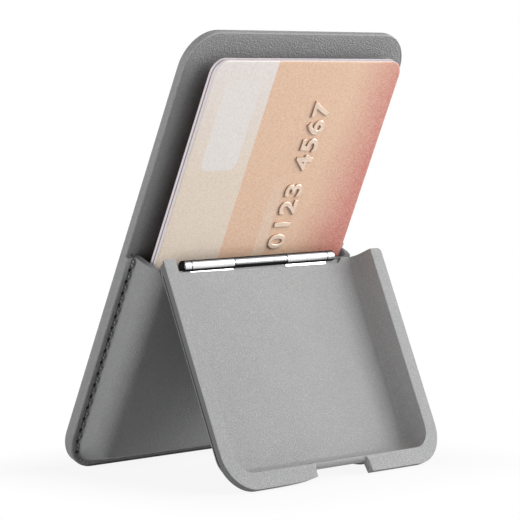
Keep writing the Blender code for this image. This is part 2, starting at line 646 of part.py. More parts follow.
def stand_on_origin(frame):
    """Moves the frame so that the middle of the bottom of the wallet's box is at the origin."""
    bpy.context.view_layer.update()
    graph = bpy.context.evaluated_depsgraph_get()
    corners = []
    for item in bpy.context.scene.objects:
        if item.type in {"MESH", "CURVE"} and not item.hide_render:
            solid = item.evaluated_get(graph)
            mesh = solid.to_mesh()
            corners += [solid.matrix_world @ vert.co for vert in mesh.vertices]
            solid.to_mesh_clear()
    low = [min(corner[axis] for corner in corners) for axis in range(3)]
    high = [max(corner[axis] for corner in corners) for axis in range(3)]
    frame.location = (-(low[0] + high[0]) / 2, -(low[1] + high[1]) / 2, -low[2])


def build():
    clear_scene()
    frame = empty("wallet_frame", turn_x=math.pi / 2 + LEAN)
    pivot = empty("lid_pivot", frame, (0, HINGE_HEIGHT, HINGE_DEPTH), OPEN_ANGLE)
    back_cover(frame)
    core_board(frame)
    phone_magnets(frame)
    plate_front(frame)
    pocket(frame)
    for side, word in ((-1, "left"), (1, "right")):
        thread("seam_thread_" + word, frame, side)
    hinge(frame, pivot)
    lid(pivot)
    cards(frame)
    stand_on_origin(frame)
    bpy.context.view_layer.update()


build()
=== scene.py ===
# %% [markdown]
# # A magnetic phone wallet, dressed for its picture
#
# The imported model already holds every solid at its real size. This script gives the wallet its looks: soft
# moulded leather, sewn seams, a polished hinge and two printed cards. Each new piece is a surface that numpy
# works out in one go, in the plane of the leather that it belongs to, and is then carried to its place.

# %% Load the fixed model
import json
import math

import bmesh
import bpy
import numpy as np
from mathutils import Matrix, Vector


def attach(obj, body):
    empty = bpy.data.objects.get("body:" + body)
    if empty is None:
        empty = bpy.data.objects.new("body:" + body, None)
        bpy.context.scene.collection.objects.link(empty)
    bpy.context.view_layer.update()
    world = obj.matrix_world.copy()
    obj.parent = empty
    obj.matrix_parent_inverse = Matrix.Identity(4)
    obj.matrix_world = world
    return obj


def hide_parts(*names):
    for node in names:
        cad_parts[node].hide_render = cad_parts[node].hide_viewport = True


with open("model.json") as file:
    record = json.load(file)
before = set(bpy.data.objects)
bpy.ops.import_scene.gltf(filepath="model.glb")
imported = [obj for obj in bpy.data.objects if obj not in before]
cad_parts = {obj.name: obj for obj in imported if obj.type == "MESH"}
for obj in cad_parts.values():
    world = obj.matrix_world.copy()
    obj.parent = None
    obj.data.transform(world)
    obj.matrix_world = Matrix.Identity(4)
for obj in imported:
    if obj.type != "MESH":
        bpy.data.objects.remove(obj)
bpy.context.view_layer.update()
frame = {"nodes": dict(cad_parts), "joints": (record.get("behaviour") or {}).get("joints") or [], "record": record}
scene = bpy.context.scene

# %% [markdown]
# ## Two flat worlds
#
# A wallet maker draws each piece flat on the bench, and so does this script. The plate has its own frame: x
# across, y up the plate, z out of the card side. The lid has another, which starts at the hinge pin: y runs
# down the lid and z points out of its back. All sizes are millimetres. One matrix for each frame carries a
# finished shape to its place, and both come from the hinge joint and the phone's mounting face.

# %% Frames of the plate and the lid
MM = 0.001
HINGE_HEIGHT = 48.0
HINGE_DEPTH = 6.0

joint = frame["joints"][0]
mount = frame["record"]["mounts"][0]
lean = math.atan2(mount["axis"][2], mount["axis"][1])
open_angle = -math.radians(joint["range_deg"][0])
pin = Matrix.Translation(Vector(joint["pos_m"]))
millimetres = Matrix.Scale(MM, 4)

PLATE = pin @ Matrix.Rotation(math.pi / 2 + lean, 4, "X") @ millimetres @ Matrix.Translation(
    (0, -HINGE_HEIGHT, -HINGE_DEPTH))
LID = pin @ Matrix.Rotation(math.pi / 2 + lean + open_angle, 4, "X") @ millimetres
print("lean", round(math.degrees(lean), 1), "lid open", round(math.degrees(open_angle), 1))

# %% Sizes of the whole wallet
WIDTH = 63.2
HEIGHT = 95.2
CORNER = 7.8
HALF = WIDTH / 2

# %% [markdown]
# ## From arrays to a piece
#
# A surface is an array of points, rows by columns. Its faces are the same for every grid, so one function
# makes them, and another turns arrays into an object that rides on a body of the wallet.

# %% Grid faces and mesh objects
CUT_ANGLE = math.radians(50)


def grid_faces(rows, columns, wrap_columns=False):
    """Quads of a grid whose points are numbered row by row, as an array of four numbers a face."""
    here = np.arange(rows - 1)[:, None] * columns
    c = np.arange(columns if wrap_columns else columns - 1)[None, :]
    below, beside = here + columns, (c + 1) % columns
    return np.stack([here + c, here + beside, below + beside, below + c], -1).reshape(-1, 4)


def capped_faces(rows, columns):
    """Faces of a tube whose rows are rings, with one flat face over each end."""
    last = (rows - 1) * columns
    return list(grid_faces(rows, columns, wrap_columns=True)) + [range(columns), range(last, last + columns)]


def welded(name, points, faces, weld, paint=None):
    """A mesh from arrays, with its doubled seams joined and all its faces turned the same way round."""
    mesh = bpy.data.meshes.new(name)
    mesh.from_pydata(np.reshape(points, (-1, 3)).tolist(), [], [tuple(face) for face in faces])
    if paint is not None:
        mesh.polygons.foreach_set("material_index", np.asarray(paint).astype(np.int32))
    bm = bmesh.new()
    bm.from_mesh(mesh)
    bmesh.ops.remove_doubles(bm, verts=bm.verts, dist=weld)
    bmesh.ops.dissolve_degenerate(bm, edges=bm.edges, dist=weld)
    bmesh.ops.recalc_face_normals(bm, faces=bm.faces)
    bm.to_mesh(mesh)
    bm.free()
    return mesh


def add_object(name, data):
    """Puts a new object with this data into the scene."""
    made = bpy.data.objects.new(name, data)
    scene.collection.objects.link(made)
    return made


def refinish(mesh, finish):
    """Gives a mesh one finish in place of those it has."""
    mesh.materials.clear()
    mesh.materials.append(finish)


def read(collection, key, width, kind=float):
    """One property of every item of a Blender collection, as an array with width columns."""
    values = np.empty(len(collection) * width, dtype=kind)
    collection.foreach_get(key, values)
    return values.reshape(-1, width) if width > 1 else values


def soften(made, rounding):
    """Rounds the cut edges of a piece, which are its only sharp ones, and adds the edge paint's slot."""
    made.data.materials.append(painted)
    edge = made.modifiers.new("cut_edges", "BEVEL")
    edge.width = rounding * MM
    edge.segments = 2
    edge.limit_method = "ANGLE"
    edge.angle_limit = CUT_ANGLE


def piece(name, points, faces, place, finish, body, replaced, slot, weld=0.002, sharp=40.0, paint=None,
          rounding=None):
    """Makes one closed piece from points in millimetres and carries it to its place.

    It rides on body, and stands for the solid that it replaced. slot, its material in the record, is not used.
    paint gives 1 for each face that is a cut edge. Those get the edge paint as their finish, and their edges
    are rounded by rounding.
    """
    mesh = welded(name, points, faces, weld, paint)
    mesh.transform(place)
    mesh.shade_smooth()
    mesh.set_sharp_from_angle(angle=math.radians(sharp))
    mesh.materials.append(finish)
    made = add_object(name, mesh)
    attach(made, body)
    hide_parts(replaced)
    if rounding:
        soften(made, rounding)
    print(name, len(mesh.polygons), "faces")


def stack(*parts):
    """Joins several (points, faces) pairs into one pair, with the face numbers moved along."""
    points, faces, count = [], [], 0
    for some_points, some_faces in parts:
        flat = np.reshape(some_points, (-1, 3))
        points.append(flat)
        faces += [tuple(int(corner) + count for corner in face) for face in some_faces]
        count += len(flat)
    return np.concatenate(points), faces


# %% [markdown]
# ## Shader maths as plain expressions
#
# Blender's Math nodes are easier to read as sums. A Socket wraps one output, and each operator on it adds a
# node and returns the next Socket. Nodes of other kinds come from one method, which returns a Socket too.

# %% A socket that does arithmetic


class Socket:
    """One output of a node. Arithmetic on it adds Math nodes."""

    def __init__(self, tree, output):
        self.tree = tree
        self.output = output

    def node(self, kind, settings=None, out=0, **inputs):
        """Adds a node, sets its settings, then its inputs by name or by number as in_0, and returns out."""
        made = self.tree.nodes.new(kind)
        for key, value in (settings or {}).items():
            setattr(made, key, value)
        for key, value in inputs.items():
            target = made.inputs[int(key[3:]) if key.startswith("in_") else key.replace("_", " ")]
            if isinstance(value, Socket):
                self.tree.links.new(value.output, target)
            else:
                target.default_value = value
        return Socket(self.tree, made.outputs[out])

    def maths(self, operation, *values, clamp=False):
        """Adds one Math node, whose inputs are the values."""
        settings = {"operation": operation, "use_clamp": clamp}
        inputs = {f"in_{i}": value for i, value in enumerate(values)}
        return self.node("ShaderNodeMath", settings, **inputs)

    def __add__(self, other):
        return self.maths("ADD", self, other)

    __radd__ = __add__

    def __sub__(self, other):
        return self.maths("SUBTRACT", self, other)

    def __rsub__(self, other):
        return self.maths("SUBTRACT", other, self)

    def __mul__(self, other):
        return self.maths("MULTIPLY", self, other)

    __rmul__ = __mul__

    def __truediv__(self, other):
        return self.maths("DIVIDE", self, other)

    def __pow__(self, other):
        return self.maths("POWER", self, other)

    def __neg__(self):
        return self.maths("MULTIPLY", self, -1.0)

    def __abs__(self):
        return self.maths("ABSOLUTE", self)

    def clamp(self):
        """Keeps the value between 0 and 1."""
        return self.maths("ADD", self, 0.0, clamp=True)

    def step(self, edge, soft):
        """Rises from 0 to 1 over a distance of soft, with its middle at edge."""
        return self.maths("ADD", (self - edge) / soft, 0.5, clamp=True)

    def noise(self, scale, detail=2.0, roughness=0.5):
        """Cloudy noise from 0 to 1. This socket is the place that it is read at."""
        return self.node("ShaderNodeTexNoise", out="Fac", Vector=self, Scale=scale, Detail=detail,
                         Roughness=roughness)

    def cells(self, scale):
        """Distance to the nearest point of a scatter of soft cells. This socket is the place."""
        soft = {"feature": "SMOOTH_F1"}
        return self.node("ShaderNodeTexVoronoi", soft, "Distance", Vector=self, Scale=scale)

    def between(self, low, high):
        """Mixes two colours, with this socket as the share of the second."""
        low, high = [colour if isinstance(colour, Socket) else (*colour, 1.0) for colour in (low, high)]
        return self.node("ShaderNodeMix", {"data_type": "RGBA"}, 2, in_0=self, in_6=low, in_7=high)


def beyond(x, y, half_x, half_y):
    """How far a place is from a rectangle round the origin: the length of what goes past its two sides."""
    beside = x.maths("MAXIMUM", abs(x) - half_x, 0.0)
    above = y.maths("MAXIMUM", abs(y) - half_y, 0.0)
    return (beside * beside + above * above) ** 0.5


class Finish:
    """A material with one Principled shader, and the places that its patterns are read at.

    The values given at the start stay fixed. What changes over the surface comes with dress.
    """

    def __init__(self, name, roughness, metallic=0.0, **fixed):
        self.material = bpy.data.materials.new(name)
        self.material.use_nodes = True
        self.tree = self.material.node_tree
        self.shader = self.tree.nodes["Principled BSDF"]
        self.shader.inputs["Roughness"].default_value = roughness
        self.shader.inputs["Metallic"].default_value = metallic
        for key, value in fixed.items():
            self.shader.inputs[key.replace("_", " ")].default_value = value
        self.start = Socket(self.tree, None)

    def place(self, matrix=None):
        """Object coordinates in millimetres, turned into the frame that matrix belongs to."""
        coordinates = self.start.node("ShaderNodeTexCoord", out="Object")
        offset, turn, size = (matrix or millimetres).inverted().decompose()
        return self.start.node("ShaderNodeMapping", Vector=coordinates, Location=offset,
                               Rotation=turn.to_euler(), Scale=size)

    def axes(self, place):
        """The x, y and z of a place, as three sockets."""
        split = self.start.node("ShaderNodeSeparateXYZ", Vector=place).output.node
        return [Socket(self.tree, output) for output in split.outputs]

    def dress(self, height=None, **values):
        """Links values that change over the surface to the shader's sockets, and returns the material.

        height, in millimetres, is how far the surface stands up: the normals tilt as if it did.
        """
        if height is not None:
            values["Normal"] = self.start.node("ShaderNodeBump", Height=height, Strength=1.0, Distance=MM)
        for key, value in values.items():
            self.tree.links.new(value.output, self.shader.inputs[key.replace("_", " ")])
        return self.material


# %% [markdown]
# ## Leather
#
# The wallet is covered in fine smooth leather. Soft cells, four to a millimetre, make its shallow pebble.
# Slower noises lay wrinkles over it and let its tone drift, as on a real skin. Heights are in millimetres
# too, about a tenth at most. The plate's lining is painted darker as painted shade, and its pebble is drawn
# out across the wallet, where the skin was stretched. Cut edges are sealed with a darker paint.

# %% Leather and its painted edges
# Black of the painted shade on the pocket.
PAINTED_SHADE_BLACK = (0.008, 0.008, 0.008)
LEATHER_DARK = (0.255, 0.256, 0.258)
LEATHER_PALE = (0.362, 0.364, 0.367)
PAINT_DARK = (0.125, 0.126, 0.127)
PAINT_PALE = (0.175, 0.176, 0.178)
# Colour of the painted shadow line where the lid's two skins meet.
JOIN_SHADE_BLACK = (0.012, 0.012, 0.012)
PEBBLES_PER_MM = 4.0
PEBBLE_HEIGHT = 0.085
WRINKLES_PER_MM = 1.6
WRINKLE_HEIGHT = 0.045
DRIFTS_PER_MM = 0.10
# Place of the painted shadow line where the lid's two skins meet.
JOIN_SHADE_LINE = -4.22
JOIN_SHADE_INSET = 0.3
JOIN_SHADE_START = 3.0


def leather(name, marks=None, shade=1.0, stretch=1.0, pebble_height=PEBBLE_HEIGHT):
    """Grey grained leather. marks gives a share of painted shade, drawn as black, and a height in millimetres to
    add to the grain.

    shade darkens it as painted shade, and stretch makes its pebbles that many times as long across the wallet.
    """
    finish = Finish(name, 0.55, Specular_IOR_Level=0.2)
    place = finish.place(millimetres @ Matrix.Diagonal((stretch, 1, 1, 1)))
    wrinkle = place.noise(WRINKLES_PER_MM, 4.0, 0.62)
    pebble = place.cells(PEBBLES_PER_MM)
    drift = place.noise(DRIFTS_PER_MM, 2.0)
    tone = (drift * 0.3 + wrinkle * 0.5 + pebble * 1.1 - 0.30).clamp()
    colour = tone.between([shade * c for c in LEATHER_DARK], [shade * c for c in LEATHER_PALE])
    height = pebble * pebble_height + wrinkle * WRINKLE_HEIGHT
    if marks is not None:
        black, relief = marks(finish)
        colour = black.between(colour, PAINTED_SHADE_BLACK)
        height = height + relief
    return finish.dress(height, Base_Color=colour, Roughness=0.66 - wrinkle * 0.22)


def edge_paint():
    """The dull paint that seals a cut edge, with the fine lines that the dressing tool leaves along it.

    Where the lid's two skins meet, a painted shadow line darkens it.
    """
    finish = Finish("edge_paint", 0.6, Specular_IOR_Level=0.35)
    place = finish.place()
    lines = place.noise(2.5, 3.0, 0.7)
    x, y, z = finish.axes(finish.place(LID))
    # Painted shadow: a dark line along the back of the lid's edge, where the two skins meet.
    join_shade = z.step(JOIN_SHADE_LINE, 0.10) * abs(x).step(HALF - JOIN_SHADE_INSET, 0.1) * y.step(JOIN_SHADE_START, 0.5)
    grey = lines.between(PAINT_DARK, PAINT_PALE)
    return finish.dress(lines * 0.04, Base_Color=join_shade.between(grey, JOIN_SHADE_BLACK), Roughness=0.70 - lines * 0.2)


leather_body = leather("leather")
# The lining's darker tone is painted shade for the plate's face.
leather_lining = leather("leather_lining", shade=0.76, stretch=1.7, pebble_height=0.11)
painted = edge_paint()

# %% Polished steel
PIN_PLACE = [c / MM for c in joint["pos_m"]]
PIN_RADIUS = 0.72
LINES_ALONG = 0.05
LINES_ACROSS = 6.0
BARREL_LIMIT = 1.14
# Angles and places where the steel's painted shade and painted highlight fall.
PAINTED_SHADE_TOP = math.radians(45)
PAINTED_SHADE_FOOT = math.radians(-27)
MIDDLE_SHADE_SHIFT = math.radians(16)
END_PLACE = 21.57
PAINTED_SHINE_ANGLE = math.radians(-8)
JOINTS = (7.65, 19.75)
STEEL_DARK = (0.66, 0.66, 0.67)
STEEL_PALE = (0.96, 0.96, 0.97)
# Colours of the steel's painted shade and painted black.
STEEL_PAINTED_SHADE = (0.30, 0.30, 0.31)
STEEL_PAINTED_BLACK = (0.018, 0.018, 0.018)


def polished_steel():
    """Bright rolled steel with lines along the barrel, and with painted light and shade: a painted highlight at
    one angle round the pin, painted shade away from it and on the middle knuckle, and black painted shade and dark
    reflection where the rolls meet and dip out of sight.

    The angle round the pin comes from the arc tangent of the place, so the dark lines run along the barrel.
    """
    finish = Finish("polished_steel", 0.12, 1.0, Specular_IOR_Level=0.0)
    place = finish.place()
    x, y, z = finish.axes(place)
    drawn = finish.start.node("ShaderNodeCombineXYZ", X=x * LINES_ALONG, Y=y * LINES_ACROSS,
                              Z=z * LINES_ACROSS)
    lines = drawn.noise(1.0, 3.0)
    back, up = y - PIN_PLACE[1], z - PIN_PLACE[2]
    angle = up.maths("ARCTAN2", up, -back)
    radius = (back * back + up * up) ** 0.5
    on_barrel = 1 - radius.step(BARREL_LIMIT, 0.04)
    middle = (1 - abs(x).step(JOINTS[0], 0.02)) * on_barrel
    # Painted shade and dark reflection: black bands along the top and foot of the barrel, at the joints between
    # knuckles and in the hollow ends.
    top_and_foot_shade = angle.step(PAINTED_SHADE_TOP, 0.7) + 1 - (angle - middle * MIDDLE_SHADE_SHIFT).step(PAINTED_SHADE_FOOT, 0.35)
    joint_shade = sum((1 - abs(abs(x) - joint_place).step(0.13, 0.08) for joint_place in JOINTS), 0.0)
    hollow_shade = (abs(x) - END_PLACE).step(0.0, 0.02) * (1.0 - radius.step(PIN_RADIUS, 0.05) * 0.6)
    painted_dark = ((top_and_foot_shade + joint_shade + hollow_shade) * on_barrel).clamp()
    # Painted highlight and shade: the steel greys away from one angle round the pin, and on the middle knuckle.
    grey = (middle * 0.60 + abs(angle - PAINTED_SHINE_ANGLE) * 0.45 * on_barrel).clamp()
    shaded = grey.between(lines.between(STEEL_DARK, STEEL_PALE), STEEL_PAINTED_SHADE)
    return finish.dress(lines * 0.006, Base_Color=painted_dark.between(shaded, STEEL_PAINTED_BLACK), Metallic=1 - painted_dark,
                        Roughness=lines * 0.2 + 0.10 + painted_dark * 0.7)


steel = polished_steel()

# %% Thread and the finishes of hidden pieces
THREAD_CREST = 0.86
# Colours of the thread's painted shade and painted light.
THREAD_SHADE_DARK = (0.025, 0.025, 0.025)
THREAD_LIT_PALE = (0.38, 0.38, 0.39)


def thread_finish():
    """Grey polyester, twisted from strands that slant across the cord, painted pale on the crest and dark where it
    sinks down, as painted light and shade.
    """
    finish = Finish("thread", 0.6, Sheen_Weight=0.3)
    x, y, z = finish.axes(finish.place(PLATE))
    twist = x.maths("SINE", y * 8.0 + x * 7.0) * 0.5 + 0.5
    # Painted light and shade: the strands are pale only on the cord's crest and dark lower down.
    lit_crest = twist * z.step(THREAD_CREST, 0.16)
    return finish.dress(twist * 0.08, Base_Color=lit_crest.between(THREAD_SHADE_DARK, THREAD_LIT_PALE))


def plain(name, colour, roughness, metallic=0.0, grain=0.2):
    """A hidden piece's own colour with a slight mottle."""
    finish = Finish(name, roughness, metallic)
    mottle = finish.place().noise(1.5, 3.0)
    return finish.dress(Base_Color=mottle.between([c * (1 - grain) for c in colour], colour))


thread = thread_finish()
sheet_steel = plain("sheet_steel", (0.45, 0.46, 0.48), 0.35, 1.0)
nickel = plain("nickel_plate", (0.60, 0.60, 0.62), 0.30, 1.0)
board = plain("black_board", (0.03, 0.03, 0.03), 0.6)

# %% [markdown]
# ## Plate cover
#
# The plate's cover is one skin wrapped round a thin board. Its edge is soft: a large round at the back, a
# smaller one in front, and then a seam where the front lining was glued in. The shape is a section carried
# round a rectangle with round corners, so every row of points is the same outline drawn further in.

# %% Plate outline and section
CORNER_POINTS = 14
EDGE_POINTS = 26


def round_rectangle(half_width, bottom, top, radius):
    """A rectangle with round corners. Each corner is a quarter circle, and each edge is cut evenly."""
    quarter = np.linspace(0, math.pi / 2, CORNER_POINTS)
    centres = ((half_width - radius, bottom + radius, -1), (half_width - radius, top - radius, 0),
               (radius - half_width, top - radius, 1), (radius - half_width, bottom + radius, 2))
    corners = [np.stack([x + radius * np.cos(quarter + turn * math.pi / 2),
                         y + radius * np.sin(quarter + turn * math.pi / 2)], -1) for x, y, turn in centres]
    share = np.linspace(0, 1, EDGE_POINTS + 2)[1:-1, None]
    rows = []
    for here, there in zip(corners, corners[1:] + corners[:1]):
        rows += [here, here[-1] + (there[0] - here[-1]) * share]
    return np.concatenate(rows)


def arc(x, y, radius, start, stop, count):
    """Points on a circle between two angles in degrees."""
    angle = np.radians(np.linspace(start, stop, count))
    return np.stack([x + radius * np.cos(angle), y + radius * np.sin(angle)], -1)


def slab(section, bottom, top, half_width, radius):
    """A closed plate: each (inset, height) of its section is a ring, and flat caps close the ends."""
    rings = []
    for inset, height in section:
        outline = round_rectangle(half_width - inset, bottom + inset, top - inset, radius - inset)
        rings.append(np.insert(outline, 2, height, axis=1))
    return np.stack(rings), capped_faces(len(rings), len(rings[0]))


PLATE_BACK = -2.0
BACK_ROUND = 0.9
FRONT_ROUND = 0.25
SEAM_INSET = 0.38
SEAM_ROUND = 0.05
SEAM_DEPTH = 0.2

cover_section = np.concatenate([
    [(3.0, PLATE_BACK), (1.4, PLATE_BACK)],
    arc(BACK_ROUND, PLATE_BACK + BACK_ROUND, BACK_ROUND, 270, 180, 9),
    arc(FRONT_ROUND, -FRONT_ROUND, FRONT_ROUND, 180, 90, 7),
    arc(SEAM_INSET - SEAM_ROUND, -SEAM_ROUND, SEAM_ROUND, 90, 0, 4),
    [(SEAM_INSET, -SEAM_DEPTH)],
])
piece("plate_cover", *slab(cover_section, 0, HEIGHT, HALF, CORNER), PLATE, leather_body, "wallet",
      "back_cover", "leather_grey")

# %% Front lining of the plate
LINING_INSET = SEAM_INSET + 0.02
LINING_THICK = 0.4
LINING_ROUND = 0.1

lining_section = np.concatenate([
    [(0.0, -LINING_THICK), (0.0, -LINING_ROUND)],
    arc(LINING_ROUND, -LINING_ROUND, LINING_ROUND, 180, 90, 6),
    [(1.0, 0.0)],
])
lining_slab = slab(lining_section, LINING_INSET, HEIGHT - LINING_INSET, HALF - LINING_INSET,
                   CORNER - LINING_INSET)
piece("plate_lining", *lining_slab, PLATE, leather_lining, "wallet", "front_lining", "leather_grey")

# %% [markdown]
# ## Moulded trays
#
# The pocket and the lid are leather pressed over a form: a flat edge, a wall and a floor. Seen from above,
# each row of the surface is a U, open at the hinge. Every row is cut into the same number of points, so the
# rows join into a grid, and lines straight across the last U make the floor.

# %% Surface of a tray
SIDE_POINTS = 130
BEND_POINTS = 22
OUTER_POINTS = 24
NOTCH_POINTS = 16
NOTCH_HALF = 8.0
MOUTH_REACH = 9.0
SLOPE_REACH = 6.0
STEEPNESS = 3.5
SHEET_WELD = 0.001
PARED_SHARE = 0.1


def u_rows(insets, ends, starts, radii, length):
    """U-shaped rows, one for each inset: down the right side, round the closed end and up the left side.

    A point of a side is start + share * run, a corner is a quarter circle, and the end is two straight runs
    that meet where the finger notch begins, with points close together there. The left half is the right half
    mirrored.
    """
    half, end = (HALF - insets)[:, None], (length - ends)[:, None]
    start, radius = starts[:, None], radii[:, None]
    side = np.linspace(0, 1, SIDE_POINTS)[None, :]
    bend = np.linspace(0, math.pi / 2, BEND_POINTS)[None, 1:]
    outer = np.linspace(0, 1, OUTER_POINTS)[None, 1:]
    inner = 1 - np.linspace(0, 1, NOTCH_POINTS)[None, 1:] ** 2
    run = half - radius
    x = np.concatenate([half + 0 * side, run + radius * np.cos(bend), run + (NOTCH_HALF - run) * outer,
                        NOTCH_HALF * inner + 0 * run], 1)
    y = np.concatenate([start + (end - radius - start) * side, end - radius + radius * np.sin(bend),
                        end + 0 * outer, end + 0 * inner], 1)
    return np.concatenate([x, -x[:, -2::-1]], 1), np.concatenate([y, y[:, -2::-1]], 1)


def tray(profile, ends, starts, radii, length):
    """The wall as rows of Us, and the floor as lines across the last one. Returns two arrays of points."""
    x, y = u_rows(profile[:, 0], ends, starts, radii, length)
    wall = np.stack([x, y, profile[:, 1:] + 0 * x], -1)
    lines = SIDE_POINTS + BEND_POINTS - 1
    middle = x.shape[1] // 2
    share = x[-1, lines - 1:middle + 1] / x[-1, lines - 1]
    share = np.concatenate([share, -share[-2::-1]])
    across = x[-1, :lines, None] * share
    return wall, np.stack([across, y[-1, :lines, None] + 0 * across, profile[-1, 1] + 0 * across], -1)


def move_mouth(points, starts, wanted, reach=MOUTH_REACH):
    """Moves the open edge of a tray from starts to wanted, and lets the move fade to nothing over reach."""
    y = points[..., 1]
    points[..., 1] = y + (wanted - starts) * np.clip(1 - (y - starts) / reach, 0, 1)
    return points


def follow_slope(outer, inner, start):
    """Moves the inner skin's mouth to the start that its own height gives."""
    return move_mouth(inner, start(outer[:, 0], outer[:, 2]), start(inner[:, 0], inner[:, 2]), SLOPE_REACH)


def near_hinge(x, half_width):
    """1 where the hinge is and 0 beside it, with a soft change: half of 1 - tanh of the distance."""
    return (1 - np.tanh((np.abs(x) - half_width) * STEEPNESS)) / 2


def shell(wall, floor, outward, thickness, mouth=None, thin=None):
    """Joins a tray's wall and floor to a sheet, gives it its thickness and closes it.

    It returns points, faces and which faces are cut edges. outward is the way that the floor faces.
    The inner skin is the outer one moved against its normals. mouth may then move the inner skin's points,
    and thin picks the outer points where the leather is pared down to PARED_SHARE. A cut edge is a quad for
    each border edge, and an edge is on the border if no face runs along it the other way.
    """
    sheet = stack(*[(part, grid_faces(*part.shape[:2])) for part in (wall, floor)])
    mesh = welded("sheet", *sheet, SHEET_WELD)
    outer = read(mesh.vertices, "co", 3)
    normals = read(mesh.vertex_normals, "vector", 3)
    area, facing = read(mesh.polygons, "area", 1), read(mesh.polygons, "normal", 3)
    turned = (facing * area[:, None]).sum(0) @ np.array(outward) < 0
    quads = read(mesh.loops, "vertex_index", 1, np.int32).reshape(-1, 4)
    bpy.data.meshes.remove(mesh)
    if turned:
        normals, quads = -normals, quads[:, ::-1]
    depth = np.full(len(outer), thickness)
    if thin is not None:
        depth[thin(outer)] *= PARED_SHARE
    inner = outer - normals * depth[:, None]
    if mouth is not None:
        inner = mouth(outer, inner)
    count = len(outer)
    ahead = np.stack([quads, np.roll(quads, -1, 1)], -1).reshape(-1, 2)
    key, back = ahead[:, 0] * count + ahead[:, 1], ahead[:, 1] * count + ahead[:, 0]
    border = ahead[~np.isin(back, key)]
    rim = np.column_stack([border[:, 1], border[:, 0], border[:, 0] + count, border[:, 1] + count])
    cut = np.concatenate([np.zeros(2 * len(quads)), np.ones(len(rim))])
    return np.concatenate([outer, inner]), np.concatenate([quads, quads[:, ::-1] + count, rim]), cut


# %% [markdown]
# ## Pocket
#
# The pocket is sewn on by a flat flange, whose outer edge is pressed down over the plate's so that the two
# show as one soft band. A row of needle holes, painted black as painted shade, runs down both sides beside
# the bulge. Round the two lower corners the flange has puckered into fine folds, as moulded leather does
# where it has nowhere to go, and their hollows are painted darker as painted shade. The bottom wall leans
# back from the foot, where the edge is turned under and a painted shade line darkens it.

# %% Pocket section
FLANGE_TOP = 0.75
FLANGE_WIDTH = 1.95
BOTTOM_FLANGE = 1.6
BOTTOM_LEAN = 0.62
BOTTOM_ROUND = 0.5
BAND_ROUND = 0.38
BAND_FOOT = -0.27
BULGE_RADIUS = 4.2
BULGE_INSET = 6.4
BULGE_FOOT = 0.25
POCKET_FACE = 7.1
POCKET_TOP = 47.7
POCKET_LEATHER = 1.15
POCKET_CORNER = 2.3
CORNER_SHRINK = 1.4
EDGE_SLOPE = math.tan(math.radians(20))
HINGE_HALF = 22.4
ROOM_LEFT = 22.7
ROOM_RIGHT = 22.2
PIN_ROOM = 1.35
MOUTH_DIP = 0.1
DIP_RISE = 0.8
CROWN = 0.2
GROOVE_DEPTH = 0.12
GROOVE_WIDTH = 0.35
STITCH_INSET = 1.55
STITCH_PITCH = 2.567
STITCH_TOP = 45.1
STITCHES = 16
SEAM_LENGTH = STITCHES * STITCH_PITCH
SEAM_TURN = STITCH_TOP - (STITCHES - 1) * STITCH_PITCH
SEAM_BEND = 0.9

flange = np.linspace(BAND_ROUND, FLANGE_WIDTH, 14)[1:]
groove = GROOVE_DEPTH * np.exp(-((flange - STITCH_INSET) / GROOVE_WIDTH) ** 2)
pocket_profile = np.concatenate([
    [(0.0, BAND_FOOT), (0.0, -0.2), (0.0, 0.1)],
    arc(BAND_ROUND, FLANGE_TOP - BAND_ROUND, BAND_ROUND, 180, 90, 6),
    np.column_stack([flange, FLANGE_TOP - groove]),
    arc(FLANGE_WIDTH, FLANGE_TOP + BULGE_FOOT, BULGE_FOOT, 270, 350, 6)[1:],
    arc(BULGE_INSET, POCKET_FACE - BULGE_RADIUS, BULGE_RADIUS, 180, 90, 18),
])
inset, height = pocket_profile.T
on_wall = np.maximum(inset - FLANGE_WIDTH, 0)
pocket_ends = (np.minimum(inset, FLANGE_WIDTH) * BOTTOM_FLANGE / FLANGE_WIDTH
               + (height - FLANGE_TOP) * BOTTOM_LEAN * (on_wall > 0)
               + BOTTOM_ROUND * (on_wall / (BULGE_INSET - FLANGE_WIDTH)) ** 3)
pocket_radii = np.maximum(CORNER - CORNER_SHRINK * inset, POCKET_CORNER)


def pocket_start(x, z):
    """How far below the mouth the leather begins: it dips beside the cards and slopes back from the pin."""
    slope = POCKET_TOP - HINGE_HEIGHT + (z - HINGE_DEPTH) / EDGE_SLOPE
    dip = MOUTH_DIP * np.clip((z - FLANGE_TOP) / DIP_RISE, 0, 1)
    beside = near_hinge(x + (ROOM_LEFT - ROOM_RIGHT) / 2, (ROOM_LEFT + ROOM_RIGHT) / 2)
    room = (PIN_ROOM + POCKET_TOP - HINGE_HEIGHT) * beside * (z > HINGE_DEPTH - 1)
    return np.maximum(np.maximum(slope, dip), room)


pocket_starts = pocket_start(HALF, height)

# %% Marks of the needle and of the mould on the pocket, with painted shade
HOLE_LENGTH = 0.42
HOLE_WIDTH = 0.38
HOLE_DEPTH = 0.25
SEAM_MIDDLE = STITCH_TOP - SEAM_LENGTH / 2
SEAM_END = SEAM_LENGTH / 2 + 0.6
PUCKERS = 36.0
PUCKER_HEIGHT = 0.06
PUCKER_SHADE = 0.35
PUCKER_BELOW = 3.6
PUCKER_BESIDE = 0.8
PUCKER_HEM = 0.45
# Width and strength of the painted shade line along the pocket's foot.
FOOT_EDGE = 0.62
FOOT_SHADE = 0.9


